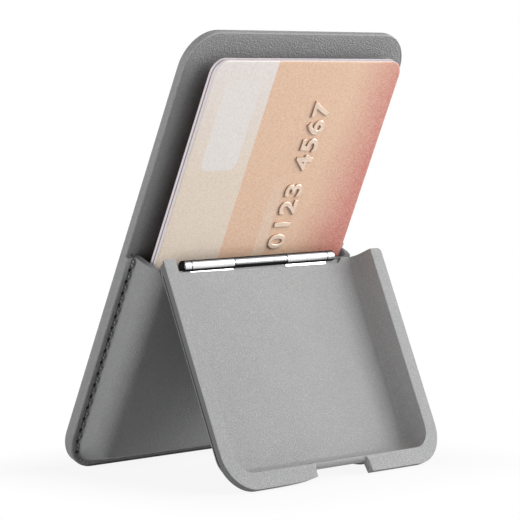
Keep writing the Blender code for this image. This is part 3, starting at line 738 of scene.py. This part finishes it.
def pocket_marks_and_shade(finish):
    """Needle holes and fine radial folds on the flange's lower corners, with painted shade: black in the holes,
    darker in the folds, and a dark line where the foot's edge turns under.

    A hole is an ellipse round the nearest whole step of the seam. A fold is a sine of the angle round the
    corner's centre, and ends before the flange's hem.
    """
    x, y, z = finish.axes(finish.place(PLATE))
    on_flange = 1 - z.step(1.0, 0.3)
    step = (STITCH_TOP - y) / STITCH_PITCH + 0.5
    along = (y.maths("FRACT", step) - 0.5) * (STITCH_PITCH / HOLE_LENGTH)
    bend = ((SEAM_TURN - y) / STITCH_PITCH).clamp() * SEAM_BEND
    across = (abs(x) + bend - (HALF - STITCH_INSET)) / HOLE_WIDTH
    in_run = 1 - abs(y - SEAM_MIDDLE).step(SEAM_END, 0.1)
    # The holes are painted black as painted shade, and the folds darker.
    hole = (1 - (along * along + across * across).step(1.0, 0.9)) * in_run * on_flange
    below, beside = CORNER - y, abs(x) - (HALF - CORNER)
    angle = y.maths("ARCTAN2", below, beside)
    folds = y.maths("SINE", angle * PUCKERS) * 0.5 + 0.5
    in_corner = below.step(PUCKER_BELOW, 1.5) * beside.step(PUCKER_BESIDE, 1.5) * on_flange
    hem = (beside ** 2.0 + below ** 2.0).step((CORNER - PUCKER_HEM) ** 2, 2.0)
    folds = folds * in_corner * (1 - hem)
    # Painted shade: a dark line along the flange's bottom edge, where it turns under.
    painted_foot_line = (1 - y.step(FOOT_EDGE, 0.2)) * on_flange
    shade = (hole + folds * PUCKER_SHADE + painted_foot_line * FOOT_SHADE).clamp()
    return shade, folds * PUCKER_HEIGHT - hole * HOLE_DEPTH


leather_sewn = leather("leather_sewn", pocket_marks_and_shade)

# %% Pocket surface
MOUTH_BEVEL = 0.33
BEVEL_TOP = HINGE_DEPTH - 0.7
BEVEL_FADE = 1.5
BEVEL_REACH = 3.0
PARED_BELOW = 0.2

wall, floor = tray(pocket_profile, pocket_ends, pocket_starts, pocket_radii, POCKET_TOP)
floor = move_mouth(floor, pocket_starts[-1], pocket_start(floor[..., 0], POCKET_FACE))
length = POCKET_TOP - pocket_ends[-1]
across = 1 - (floor[..., 0] / (HALF - BULGE_INSET)) ** 2
along = np.sin(np.clip(floor[..., 1] / length, 0, 1) * math.pi)
floor[..., 2] += CROWN * across * along


def pocket_inside(outer, inner):
    """The inner skin's mouth slopes like the outer's, and beside the cards it is raised to a bevel.

    The bevel is MOUTH_BEVEL high at the mouth, and fades towards the hinge's height and down the pocket.
    """
    inner = follow_slope(outer, inner, pocket_start)
    beside = np.clip((BEVEL_TOP - inner[:, 2]) / BEVEL_FADE, 0, 1)
    inner[:, 1] -= MOUTH_BEVEL * beside * np.clip(1 - outer[:, 1] / BEVEL_REACH, 0, 1)
    return inner


points, faces, cut_edges = shell(wall, floor, (0, 0, 1), POCKET_LEATHER, pocket_inside,
                                 lambda outer: outer[:, 2] < PARED_BELOW)
points[:, 1] = POCKET_TOP - points[:, 1]
piece("pocket", points, faces, PLATE, leather_sewn, "wallet", "pocket_shell", "leather_grey",
      paint=cut_edges, rounding=0.14)
print("pocket mouth", POCKET_TOP, "seam foot", STITCH_TOP - SEAM_LENGTH)

# %% [markdown]
# ## Seam thread
#
# A lockstitch shows one short cord for each pair of holes. It dives at both ends and rises between them. Each
# stitch is a tube whose middle line is an arch, and whose radius falls to nothing in the holes. The first one
# is locked over the pocket's mouth, down to the plate, because that is where cards pull at the seam.

# %% Stitches
THREAD_RADIUS = 0.25
STITCH_STEPS = 13
TUBE_SIDES = 10
THREAD_SINK = 0.30
HOLE_GAP = 0.1
STITCH_SHIFT = 0.12
STITCH_RISE = 0.34
LOCK_TOP = 48.5
LOCK_FOOT = -0.25
LOCK_RISE = 0.75


def stitch(x, top, bottom, top_height, bottom_height, rise, bend=0.0):
    """A closed tube along an arch: its height adds a root of a sine to a straight line between its ends.

    bend is how far its lower end lies to the side of its upper end.
    """
    way = np.linspace(0, 1, STITCH_STEPS)[:, None]
    turn = np.linspace(0, 2 * math.pi, TUBE_SIDES, endpoint=False)[None, :]
    arch = np.maximum(np.sin(way * math.pi), 0)
    radius = THREAD_RADIUS * arch ** 0.35
    height = top_height + (bottom_height - top_height) * way + rise * arch ** 0.6
    return np.stack([x + bend * way + radius * np.cos(turn), top + (bottom - top) * way + 0 * turn,
                     height + radius * np.sin(turn)], -1)


def seam(name, side, replaced):
    """One row of stitches, with the locking stitch over the mouth first."""
    x = side * (HALF - STITCH_INSET)
    under = FLANGE_TOP - THREAD_SINK
    tubes = [stitch(x, LOCK_TOP, STITCH_TOP + HOLE_GAP, LOCK_FOOT, under, LOCK_RISE)]
    for number in range(STITCHES):
        top = STITCH_TOP - number * STITCH_PITCH - HOLE_GAP
        bottom = top - STITCH_PITCH + 2 * HOLE_GAP
        bend = -side * SEAM_BEND if number == STITCHES - 1 else 0.0
        tubes.append(stitch(x + STITCH_SHIFT, top, bottom, under, under, STITCH_RISE, bend))
    faces = grid_faces(STITCH_STEPS, TUBE_SIDES, wrap_columns=True)
    row = stack(*[(tube, faces) for tube in tubes])
    piece(name, *row, PLATE, thread, "wallet", replaced, "thread_grey", weld=0.0005)


seam("stitches_left", -1, "seam_thread_left")
seam("stitches_right", 1, "seam_thread_right")

# %% [markdown]
# ## Lid
#
# The lid is two skins. The lining faces the cards and makes the smooth recess and the flat rim round it. The
# cover makes the back and is glued to the lining at the rim. The rim's edge is cut square and painted, so it
# shows as one darker band. At the finger notch both skins are pressed down into one roll, which draws in the
# leather beside it. The lining's edge at the hinge isn't quite square to the lid, which leaves a little more
# of the steel in sight at the right.

# %% Lid sizes
LID_LENGTH = 47.2
RIM_WIDTH = 3.3
END_RIM = 3.4
RIM_FACE = -5.35
RIM_BACK = -3.9
RIM_CORNER = 0.06
SKIRT_ROUND = 0.08
SKIRT_SLOPE = 0.4
SKIRT_DEPTH = 0.07
SKIRT_MARGIN = 0.04
LINING = 0.45
FLOOR_FACE = -0.35
RECESS_FILLET = 1.6
LID_CORNER = 2.3
LINING_START = 0.05
LINING_SKEW = 0.35
CUT_RIGHT = 1.1
CUT_LEFT = 0.5
LEAF_START = 1.32
LEAF_SKEW = 0.30
ROOM_SHIFT = 0.65
ROOM_HALF = 24.35
NOTCH_EDGE = 2.33
NOTCH_CHEEK = 0.55
NOTCH_SHIFT = 0.9
SHIFT_REACH = 3.0
END_PULL = 0.7
END_REACH = 3.0
PULL_FADE = 0.6


def lid_ends(profile):
    """The end rim is a little wider than the side rims, and all else is as deep as at the sides."""
    inset = profile[:, 0]
    return np.minimum(inset, RIM_WIDTH) * END_RIM / RIM_WIDTH + np.maximum(inset - RIM_WIDTH, 0)


def rounded(inset, radius):
    """How much a corner takes off at a distance inside its edge: r - sqrt(r^2 - (r - inset)^2)."""
    return radius - np.sqrt(np.maximum(radius ** 2 - np.clip(radius - inset, 0, radius) ** 2, 0))


def press_notch(wall, ends, heights):
    """Presses the finger notch into the first rows of a tray's end wall, down to the given ends and heights.

    A point moves by a share that rises from 0 to 1 over the notch's cheek, along the curve 3s^2 - 2s^3. Left
    of the notch the leather's edge is drawn in, by END_PULL e^(-d / END_REACH) at a distance d from there.
    The points of the notch then move NOTCH_SHIFT to the right, and less towards the recess and the corners.
    """
    beside = wall[..., 0] + NOTCH_HALF
    near_end = np.clip((wall[..., 1] - LID_LENGTH + END_RIM) / END_RIM, 0, 1)
    fade = np.minimum(beside, 0) / END_REACH - np.maximum(beside, 0) / PULL_FADE
    wall[..., 1] -= END_PULL * near_end * np.exp(fade)
    rows = wall[:len(ends)]
    share = np.clip((NOTCH_HALF - np.abs(rows[..., 0])) / NOTCH_CHEEK, 0, 1)
    share = share * share * (3 - 2 * share)
    rows[..., 1] += share * (LID_LENGTH - ends[:, None] - rows[..., 1])
    rows[..., 2] += share * (heights[:, None] - rows[..., 2])
    between = np.clip((HALF / 2 - np.abs(wall[..., 0])) / (HALF / 2 - NOTCH_HALF), 0, 1)
    wall[..., 0] += NOTCH_SHIFT * between * np.clip(SHIFT_REACH * near_end, 0, 1)
    return wall


# %% Lid lining
rim_profile = np.concatenate([
    [(0.0, RIM_BACK), (0.0, -4.3), (0.0, -4.8)],
    arc(SKIRT_ROUND, RIM_FACE + SKIRT_ROUND, SKIRT_ROUND, 180, 270, 5),
    np.linspace((SKIRT_ROUND, RIM_FACE), (RIM_WIDTH - RIM_CORNER, RIM_FACE), 9)[1:],
    arc(RIM_WIDTH - RIM_CORNER, RIM_FACE + RIM_CORNER, RIM_CORNER, 270, 360, 6)[1:],
])
way = np.append(0, np.cumsum(np.linalg.norm(np.diff(rim_profile, axis=0), axis=1)))
roll = (1 - way / way[-1]) * math.pi / 2
notch_ends = END_RIM - (END_RIM - NOTCH_EDGE) * np.sin(roll)
notch_heights = RIM_FACE + RIM_CORNER + (RIM_BACK - RIM_FACE - RIM_CORNER) * (1 - np.cos(roll))
lining_profile = np.concatenate([
    rim_profile,
    np.linspace((RIM_WIDTH, RIM_FACE + 0.7), (RIM_WIDTH, FLOOR_FACE - RECESS_FILLET), 5),
    arc(RIM_WIDTH + RECESS_FILLET, FLOOR_FACE - RECESS_FILLET, RECESS_FILLET, 180, 90, 16)[1:],
])
inset, height = lining_profile.T
lining_starts = LINING_START + SKIRT_SLOPE * (height - RIM_FACE) * (inset < 0.01)
lining_radii = np.maximum(CORNER - inset, LID_CORNER)
wall, floor = tray(lining_profile, lid_ends(lining_profile), lining_starts, lining_radii, LID_LENGTH)
cut_back = np.where(wall[..., 0] > 0, rounded(inset, CUT_RIGHT)[:, None], rounded(inset, CUT_LEFT)[:, None])


def lining_move(x):
    """How much further from the pin the lining begins at x: its skew, and a step where the barrel is."""
    skew = 1 + x / HALF
    step = LEAF_START - LINING_START + (LEAF_SKEW - LINING_SKEW) * skew
    return LINING_SKEW * skew + step * near_hinge(x + ROOM_SHIFT, ROOM_HALF)


starts = lining_starts[:, None]
wall = move_mouth(wall, starts, starts + lining_move(wall[..., 0]) + cut_back)
wall = press_notch(wall, notch_ends, notch_heights)
floor = move_mouth(floor, LINING_START, LINING_START + lining_move(floor[..., 0]))


def on_skirt(middles):
    """True on the square edge of the rim: it lies on the outline, so the recess, further in, is left out."""
    beside = HALF - np.abs(middles[:, 0])
    below = LID_LENGTH - middles[:, 1]
    corner = np.hypot(np.maximum(CORNER - beside, 0), np.maximum(CORNER - below, 0))
    depth = np.where((beside < CORNER) & (below < CORNER), CORNER - corner, np.minimum(beside, below))
    return (depth < SKIRT_DEPTH) & (middles[:, 2] > RIM_FACE + SKIRT_MARGIN)


points, faces, cut_edges = shell(wall, floor, (0, 0, -1), LINING)
cut_edges = np.maximum(cut_edges, on_skirt(points[faces].mean(1)))
piece("lid_inside", points, faces, LID, leather_body, "lid", "lid_lining", "leather_grey",
      paint=cut_edges, rounding=0.06)

# %% Lid cover
BACK_FACE = 1.15
COVER_START = 0.9
COVER_WALL_INSET = 1.95
COVER_EDGE = LINING + 0.02
COVER_FOOT = 0.3
COVER_LEATHER = 1.0
COVER_LIFT = 0.1
COVER_STEP = 0.004
COVER_BULGE = BACK_FACE - RIM_BACK

cover_profile = np.concatenate([
    np.linspace((COVER_EDGE, RIM_BACK), (COVER_WALL_INSET - 0.25, RIM_BACK), 5),
    arc(COVER_WALL_INSET - COVER_FOOT, RIM_BACK + COVER_FOOT, COVER_FOOT, 285, 345, 4),
    arc(COVER_WALL_INSET + COVER_BULGE, RIM_BACK, COVER_BULGE, 173, 90, 22),
])


def cover_start(x, z):
    """How far from the pin the cover begins: its edge slopes back from the pin like the pocket's."""
    return np.maximum(COVER_START, z / EDGE_SLOPE) + 0 * x


cover_starts = cover_start(HALF, cover_profile[:, 1])
cover_radii = np.maximum(CORNER - cover_profile[:, 0], LID_CORNER)
cover_ends = lid_ends(cover_profile)
wall, floor = tray(cover_profile, cover_ends, cover_starts, cover_radii, LID_LENGTH)
pressed = (NOTCH_EDGE + COVER_EDGE + COVER_LIFT * (cover_profile[:, 1] - RIM_BACK)
           + COVER_STEP * np.arange(len(cover_ends)))
wall = press_notch(wall, np.maximum(cover_ends, pressed), cover_profile[:, 1])
points, faces, cut_edges = shell(wall, floor, (0, 0, 1), COVER_LEATHER,
                                 lambda outer, inner: follow_slope(outer, inner, cover_start))
piece("lid_back", points, faces, LID, leather_body, "lid", "lid_cover", "leather_grey",
      paint=cut_edges, rounding=0.2)

# %% [markdown]
# ## Hinge
#
# Each hinge leaf is a strip of thin steel rolled round the pin. Its section is a path: straight along the
# leaf, then nearly a full turn. Offsetting the path to both sides by half the steel's thickness gives the
# ribbon, and drawing that out between two places along the pin gives one knuckle.

# %% Rolled knuckles
BARREL = 1.1
ROLL_WALL = 0.40
STRIP_END = 2.3
LEAF_END = 6.0
ROLL_POINTS = 56
END_ROUND = 0.04
SLIT = math.radians(20)


def ribbon_section(side, leaf_height):
    """Both faces of a rolled strip, as points (y, z). side is the way along y that the leaf leaves.

    The middle line is straight along the leaf and then a circle. Each face is that line moved by half the
    steel's thickness along its normal.
    """
    radius = BARREL - ROLL_WALL / 2
    join = math.pi - math.asin(leaf_height / radius)
    turn = np.linspace(join, join + 2 * math.pi - SLIT, ROLL_POINTS)
    straight = [(y, leaf_height) for y in (-STRIP_END, -1.9, -1.4)]
    path = np.concatenate([straight, np.stack([radius * np.cos(turn), radius * np.sin(turn)], -1)])
    ahead = np.gradient(path, axis=0)
    normal = np.stack([-ahead[:, 1], ahead[:, 0]], -1) / np.linalg.norm(ahead, axis=1, keepdims=True)
    outer, inner = path + normal * ROLL_WALL / 2, path - normal * ROLL_WALL / 2
    return outer * (-side, 1), inner * (-side, 1)


def knuckle(side, leaf_height, left, right):
    """One knuckle between two places along the pin. Its ribbon thins at both ends, which breaks the rims."""
    outer, inner = ribbon_section(side, leaf_height)
    middle = (outer + inner) / 2
    rows = []
    for x, inset in ((left, END_ROUND), (left + END_ROUND, 0), (right - END_ROUND, 0), (right, END_ROUND)):
        share = 1 - inset / (ROLL_WALL / 2)
        loop = np.concatenate([middle + (outer - middle) * share, (middle + (inner - middle) * share)[::-1]])
        rows.append(np.insert(loop, 0, x, axis=1))
    rows = np.stack(rows)
    count = rows.shape[1]
    caps = [(first + i, first + i + 1, first + count - 2 - i, first + count - 1 - i)
            for first in (0, 3 * count) for i in range(count // 2 - 1)]
    return rows, list(grid_faces(4, count, wrap_columns=True)) + caps


def flat_leaf(side, leaf_height):
    """The flat part of a leaf, the full width of the hinge, as a closed strip with round long edges."""
    half = ROLL_WALL / 2
    section = np.concatenate([arc(LEAF_END - half, 0, half, -90, 90, 7), arc(STRIP_END, 0, half, 90, 91, 2),
                              arc(STRIP_END, 0, half, 269, 270, 2)])
    section = section * (side, 1) + (0, leaf_height)
    rows = [np.insert(section, 0, x, axis=1) for x in (-HINGE_HALF, HINGE_HALF)]
    return np.stack(rows), capped_faces(2, len(section))


def leaf(name, side, leaf_height, spans, place, body, replaced):
    """All knuckles of one leaf and its flat part, as one piece."""
    parts = [knuckle(side, leaf_height, left, right) for left, right in spans]
    piece(name, *stack(*parts, flat_leaf(side, leaf_height)), place, steel, body, replaced, "hinge_steel",
          weld=0.0005, sharp=25.0)


MIDDLE = 7.6
STUB = 19.8
STUB_SHORTER = 0.5
STUB_CUT = 0.8
KNUCKLE_GAP = 0.07
POCKET_LEAF = -0.175
LID_LEAF = 0.275
AT_PIN = PLATE @ Matrix.Translation((0, HINGE_HEIGHT, HINGE_DEPTH))
pocket_spans = [(STUB_CUT - HINGE_HALF, -STUB), (-MIDDLE, MIDDLE), (STUB, HINGE_HALF - STUB_SHORTER)]
lid_spans = [(-STUB + KNUCKLE_GAP, -MIDDLE - KNUCKLE_GAP), (MIDDLE + KNUCKLE_GAP, STUB - KNUCKLE_GAP)]
leaf("knuckles_of_pocket", -1, POCKET_LEAF, pocket_spans, AT_PIN, "wallet", "hinge_leaf_pocket")
leaf("knuckles_of_lid", 1, LID_LEAF, lid_spans, LID, "lid", "hinge_leaf_lid")
refinish(frame["nodes"]["hinge_pin"].data, steel)

# %% [markdown]
# ## Cards
#
# A bank card is a white plastic core between two printed faces. The print here is plain: three soft bands of
# colour and a pale label. A line of raised numbers is pressed into the front card, and they are generic.

# %% Card finish
CARD_HALF = 26.99
CARD_FOOT = 5.4
CARD_TOP = 91.0
CARD_CORNER = 3.18
CARD_THICKNESS = 0.76
CARD_FACE = 4.0
REAR_FACE = CARD_FACE - CARD_THICKNESS - 0.05
EDGE_ROUND = 0.16
CAP_INSET = 0.6
PRINT_SAND = (0.70, 0.585, 0.475)
PRINT_SAND_TOP = (0.72, 0.665, 0.645)
PRINT_PEACH = (0.69, 0.425, 0.272)
PRINT_ROSE = (0.52, 0.125, 0.088)
PRINT_LABEL = (0.72, 0.68, 0.66)
REAR_DARK = (0.26, 0.10, 0.09)
REAR_PALE = (0.38, 0.17, 0.15)
SPECK_PALE = (1.0, 0.93, 0.85)
SPECK_DARK = (0.35, 0.22, 0.15)
CORE_WHITE = (0.84, 0.81, 0.86)
PRINT_DEPTH = 0.12
SAND_EDGE = -9.9
SAND_MIDDLE = 78.0
SAND_SOFT = 24.0
STRIPE_LEFT = -0.3
STRIPE_RIGHT = 2.9
STRIPE_TOP = 62.0
STRIPE_FADE = 10.0
STRIPE_SHARE = 0.45
ROSE_MIDDLE = 21.5
ROSE_SOFT = 14.0
ROSE_LEVEL = 70.0
ROSE_SLANT = 0.10
ROSE_DRIFT = 4.0
LABEL_MIDDLE = (-18.0, 77.3)
LABEL_HALF = (4.9, 9.6)
LABEL_CORNER = 1.9


def label_share(x, y):
    """1 inside a rectangle with round corners: the distance to a smaller rectangle is under the radius."""
    away = beyond(x - LABEL_MIDDLE[0], y - LABEL_MIDDLE[1], *[half - LABEL_CORNER for half in LABEL_HALF])
    return 1 - away.step(LABEL_CORNER, 0.12)


def card_finish(name, face, printed):
    """The print on both faces, and the white core between them, which shows at the card's edge."""
    finish = Finish(name, 0.38, Coat_Weight=0.12)
    place = finish.place(PLATE)
    x, y, z = finish.axes(place)
    speckle = place.noise(3.6, 2.0, 0.85)
    cloud = place.noise(0.08, 1.0)
    colour = printed(x, y, cloud)
    colour = ((speckle - 0.5) * 0.9 + 0.12).clamp().between(colour, SPECK_PALE)
    colour = ((0.47 - speckle) * 1.2).clamp().between(colour, SPECK_DARK)
    depth = face - z
    core = (depth.step(PRINT_DEPTH, 0.04) - depth.step(CARD_THICKNESS - PRINT_DEPTH, 0.04)).clamp()
    colour = core.between(colour, CORE_WHITE)
    return finish.dress(speckle * 0.012, Base_Color=colour, Roughness=speckle * 0.2 + 0.28)


def front_print(x, y, cloud):
    """Sand, a warm band with one pale stripe, and rose that comes in from the right and from below."""
    stripe = x.step(STRIPE_LEFT, 0.15) - x.step(STRIPE_RIGHT, 0.15)
    stripe = stripe * (1 - y.step(STRIPE_TOP, STRIPE_FADE)) * STRIPE_SHARE
    warm = stripe.clamp().between(PRINT_PEACH, PRINT_SAND)
    rose = (x + (ROSE_LEVEL - y) * ROSE_SLANT + cloud * ROSE_DRIFT).step(ROSE_MIDDLE, ROSE_SOFT)
    warm = rose.between(warm, PRINT_ROSE)
    sand = y.step(SAND_MIDDLE, SAND_SOFT).between(PRINT_SAND, PRINT_SAND_TOP)
    bands = x.step(SAND_EDGE, 0.12).between(sand, warm)
    return label_share(x, y).between(bands, PRINT_LABEL)


def rear_print(x, y, cloud):
    """One rose colour that drifts a little, wherever x and y are."""
    return cloud.between(REAR_DARK, REAR_PALE)


def card(name, face, printed, replaced, slot):
    """A slab with its edges barely broken, and its print."""
    section = np.concatenate([
        [(CAP_INSET, face - CARD_THICKNESS)],
        arc(EDGE_ROUND, face - CARD_THICKNESS + EDGE_ROUND, EDGE_ROUND, 270, 180, 4),
        arc(EDGE_ROUND, face - EDGE_ROUND, EDGE_ROUND, 180, 90, 4),
        [(CAP_INSET, face)],
    ])
    piece(name, *slab(section, CARD_FOOT, CARD_TOP, CARD_HALF, CARD_CORNER), PLATE,
          card_finish(slot, face, printed), "wallet", replaced, slot)


card("front_bank_card", CARD_FACE, front_print, "card_front", "card_sand")
card("rear_bank_card", REAR_FACE, rear_print, "card_rear", "card_rose")

# %% Raised numbers
NUMBERS = "0123 4567"
NUMBERS_FOOT = 49.4
NUMBERS_LENGTH = 33.0
NUMBERS_HEIGHT = 5.0
NUMBERS_BASE = 8.2
NUMBERS_DRIFT = math.radians(-1.2)
NUMBERS_RISE = 0.34
NUMBERS_SUNK = 0.12
NUMBERS_BROWN = (0.42, 0.24, 0.15)
# Pale foil on the numbers' tops, which also stands in for a painted highlight.
NUMBERS_FOIL_HIGHLIGHT = (0.84, 0.68, 0.55)


def number_finish():
    """The card's colour, with pale foil along the tops of the numbers, partly rubbed foil and partly a painted
    highlight.
    """
    finish = Finish("raised_foil", 0.25, 0.35)
    place = finish.place(PLATE)
    height = finish.axes(place)[2] - CARD_FACE
    # Pale on the tops of the numbers: rubbed foil and a painted highlight.
    foil_and_highlight = (height.step(NUMBERS_RISE - 0.08, 0.12) * (place.noise(1.2, 2.0) + 0.35)).clamp()
    return finish.dress(Base_Color=foil_and_highlight.between(NUMBERS_BROWN, NUMBERS_FOIL_HIGHLIGHT), Metallic=foil_and_highlight * 0.5)


def raised_numbers():
    """A line of numbers up the card: text turned into a mesh, fitted to its size, then placed."""
    font = bpy.data.curves.new("raised_numbers", "FONT")
    font.body = NUMBERS
    font.extrude = 0.02
    font.bevel_depth = 0.035
    font.bevel_resolution = 3
    font.space_character = 1.15
    source = add_object("raised_numbers_source", font)
    bpy.context.view_layer.update()
    mesh = bpy.data.meshes.new_from_object(source.evaluated_get(bpy.context.evaluated_depsgraph_get()))
    bpy.data.objects.remove(source, do_unlink=True)
    points = read(mesh.vertices, "co", 3)
    low, high = points.min(0), points.max(0)
    wanted = np.array([NUMBERS_LENGTH, NUMBERS_HEIGHT, NUMBERS_RISE + NUMBERS_SUNK])
    points = (points - low) / (high - low) * wanted - (0, 0, NUMBERS_SUNK)
    mesh.vertices.foreach_set("co", points.ravel())
    spot = Matrix.Translation((NUMBERS_BASE, NUMBERS_FOOT, CARD_FACE))
    mesh.transform(PLATE @ spot @ Matrix.Rotation(math.pi / 2 + NUMBERS_DRIFT, 4, "Z"))
    refinish(mesh, number_finish())
    mesh.shade_smooth()
    mesh.set_sharp_from_angle(angle=math.radians(60))
    made = add_object("raised_numbers", mesh)
    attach(made, "wallet")
    print("raised_numbers", len(mesh.polygons), "faces")


raised_numbers()

# %% [markdown]
# ## Hidden pieces
#
# The boards, magnets and steel sheets never show in the picture, but they keep their own finishes for anyone
# who takes the wallet apart.

# %% Finishes of the hidden pieces
HIDDEN = ((board, ("core_board", "pocket_stiffener", "lid_board")),
          (leather_body, ("pocket_lining",)),
          (sheet_steel, ("card_shield", "shunt_ring", "keeper_left", "keeper_right")),
          (nickel, ("ring_magnet", "alignment_magnet", "clasp_magnet")))
for name, node in frame["nodes"].items():
    for finish, starts_of_names in HIDDEN:
        if name.startswith(starts_of_names):
            refinish(node.data, finish)

# %% [markdown]
# ## Camera
#
# The photograph was taken with a long lens from the front left, a little above the table. The camera's place
# and turn were found by matching the edges of the wallet and of the cards, whose size is known.

# %% Camera
CAMERA_PLACE = (-0.38556, -0.37000, 0.08095)
CAMERA_TURN = (85.83, -0.20, -46.297)
LENS = 183.08
SENSOR_WIDTH = 36.0

camera_data = bpy.data.cameras.new("camera")
camera_data.lens = LENS
camera_data.sensor_width = SENSOR_WIDTH
camera_data.clip_start = 0.01
camera = add_object("camera", camera_data)
camera.location = CAMERA_PLACE
camera.rotation_euler = [math.radians(angle) for angle in CAMERA_TURN]
scene.camera = camera

# %% [markdown]
# ## Studio
#
# The photograph is a cut-out on pure white. The floor and the world are white to the camera and in the
# polished steel, and the floor keeps a faint shadow close to the wallet. That white adds no light to the
# leather. The key lamp stands at the front right and high up: it lights the lid, and the cards throw their
# shadow to the left from it. A weaker lamp at the left lights the pocket's side and the plate's edge, and a
# low one at the right shines in under the lid onto the pocket's face.

# %% White floor
FLOOR_SIZE = 3.0
FLOOR_NEAR = 0.90
FOOT_HALF = (0.032, 0.025)
FADE = 0.025
FLOOR_COLOUR = (0.80, 0.80, 0.80)
FLOOR_DARKER = (0.77, 0.77, 0.77)
RAYS_THAT_SEE = ("Camera", "Glossy", "Transmission")


def mix_in_white(tree, shader, share, white_kind, last):
    """Mixes a share of plain white into the last node's shader, for the camera and for what metal mirrors."""
    start = Socket(tree, None)
    path = start.node("ShaderNodeLightPath").output.node
    camera, mirror, glass = [Socket(tree, path.outputs[f"Is {kind} Ray"]) for kind in RAYS_THAT_SEE]
    seen = (camera + mirror + glass).clamp() * share
    white = start.node(white_kind, Color=(1.0, 1.0, 1.0, 1.0), Strength=1.0)
    mixed = start.node("ShaderNodeMixShader", in_0=seen, in_1=Socket(tree, shader.outputs[0]), in_2=white)
    tree.links.new(mixed.output, tree.nodes[last].inputs[0])


def floor_finish():
    """Pale paper that is seen as white, and fully so a little way from the wallet."""
    finish = Finish("floor", 0.9, Specular_IOR_Level=0.0)
    place = finish.place(Matrix())
    x, y = finish.axes(place)[:2]
    share = (beyond(x, y, *FOOT_HALF) / FADE).clamp() * (1 - FLOOR_NEAR) + FLOOR_NEAR
    mix_in_white(finish.tree, finish.shader, share, "ShaderNodeEmission", "Material Output")
    return finish.dress(Base_Color=place.noise(900.0, 2.0).between(FLOOR_DARKER, FLOOR_COLOUR))


floor_corners = FLOOR_SIZE / 2 * np.array([(-1, -1, 0), (1, -1, 0), (1, 1, 0), (-1, 1, 0)])
floor_mesh = bpy.data.meshes.new("floor")
floor_mesh.from_pydata(floor_corners.tolist(), [], [(0, 1, 2, 3)])
floor_mesh.materials.append(floor_finish())
add_object("floor", floor_mesh)

# %% Lamps and world
AIM = Vector((0.0, 0.0, 0.045))
LAMP_DISTANCE = 0.90
AMBIENT = 0.01


def softbox(name, direction, size, watts):
    """A large square lamp in a direction from the wallet, turned to face it."""
    data = bpy.data.lights.new(name, "AREA")
    data.shape = "RECTANGLE"
    data.size, data.size_y = size
    data.energy = watts
    lamp = add_object(name, data)
    lamp.location = AIM + Vector(direction).normalized() * LAMP_DISTANCE
    lamp.rotation_euler = (AIM - lamp.location).to_track_quat("-Z", "Y").to_euler()


softbox("key", (0.60, -0.76, 0.50), (0.90, 0.60), 8.3)
softbox("left", (-0.95, 0.00, 0.25), (0.50, 0.50), 4.7)
softbox("right", (0.90, -0.42, 0.10), (0.50, 0.35), 4.9)

world = bpy.data.worlds.new("studio")
scene.world = world
world.use_nodes = True
backdrop = world.node_tree.nodes["Background"]
backdrop.inputs["Color"].default_value = (1.0, 1.0, 1.0, 1.0)
backdrop.inputs["Strength"].default_value = AMBIENT
mix_in_white(world.node_tree, backdrop, 1.0, "ShaderNodeBackground", "World Output")
scene.view_settings.view_transform = "Standard"
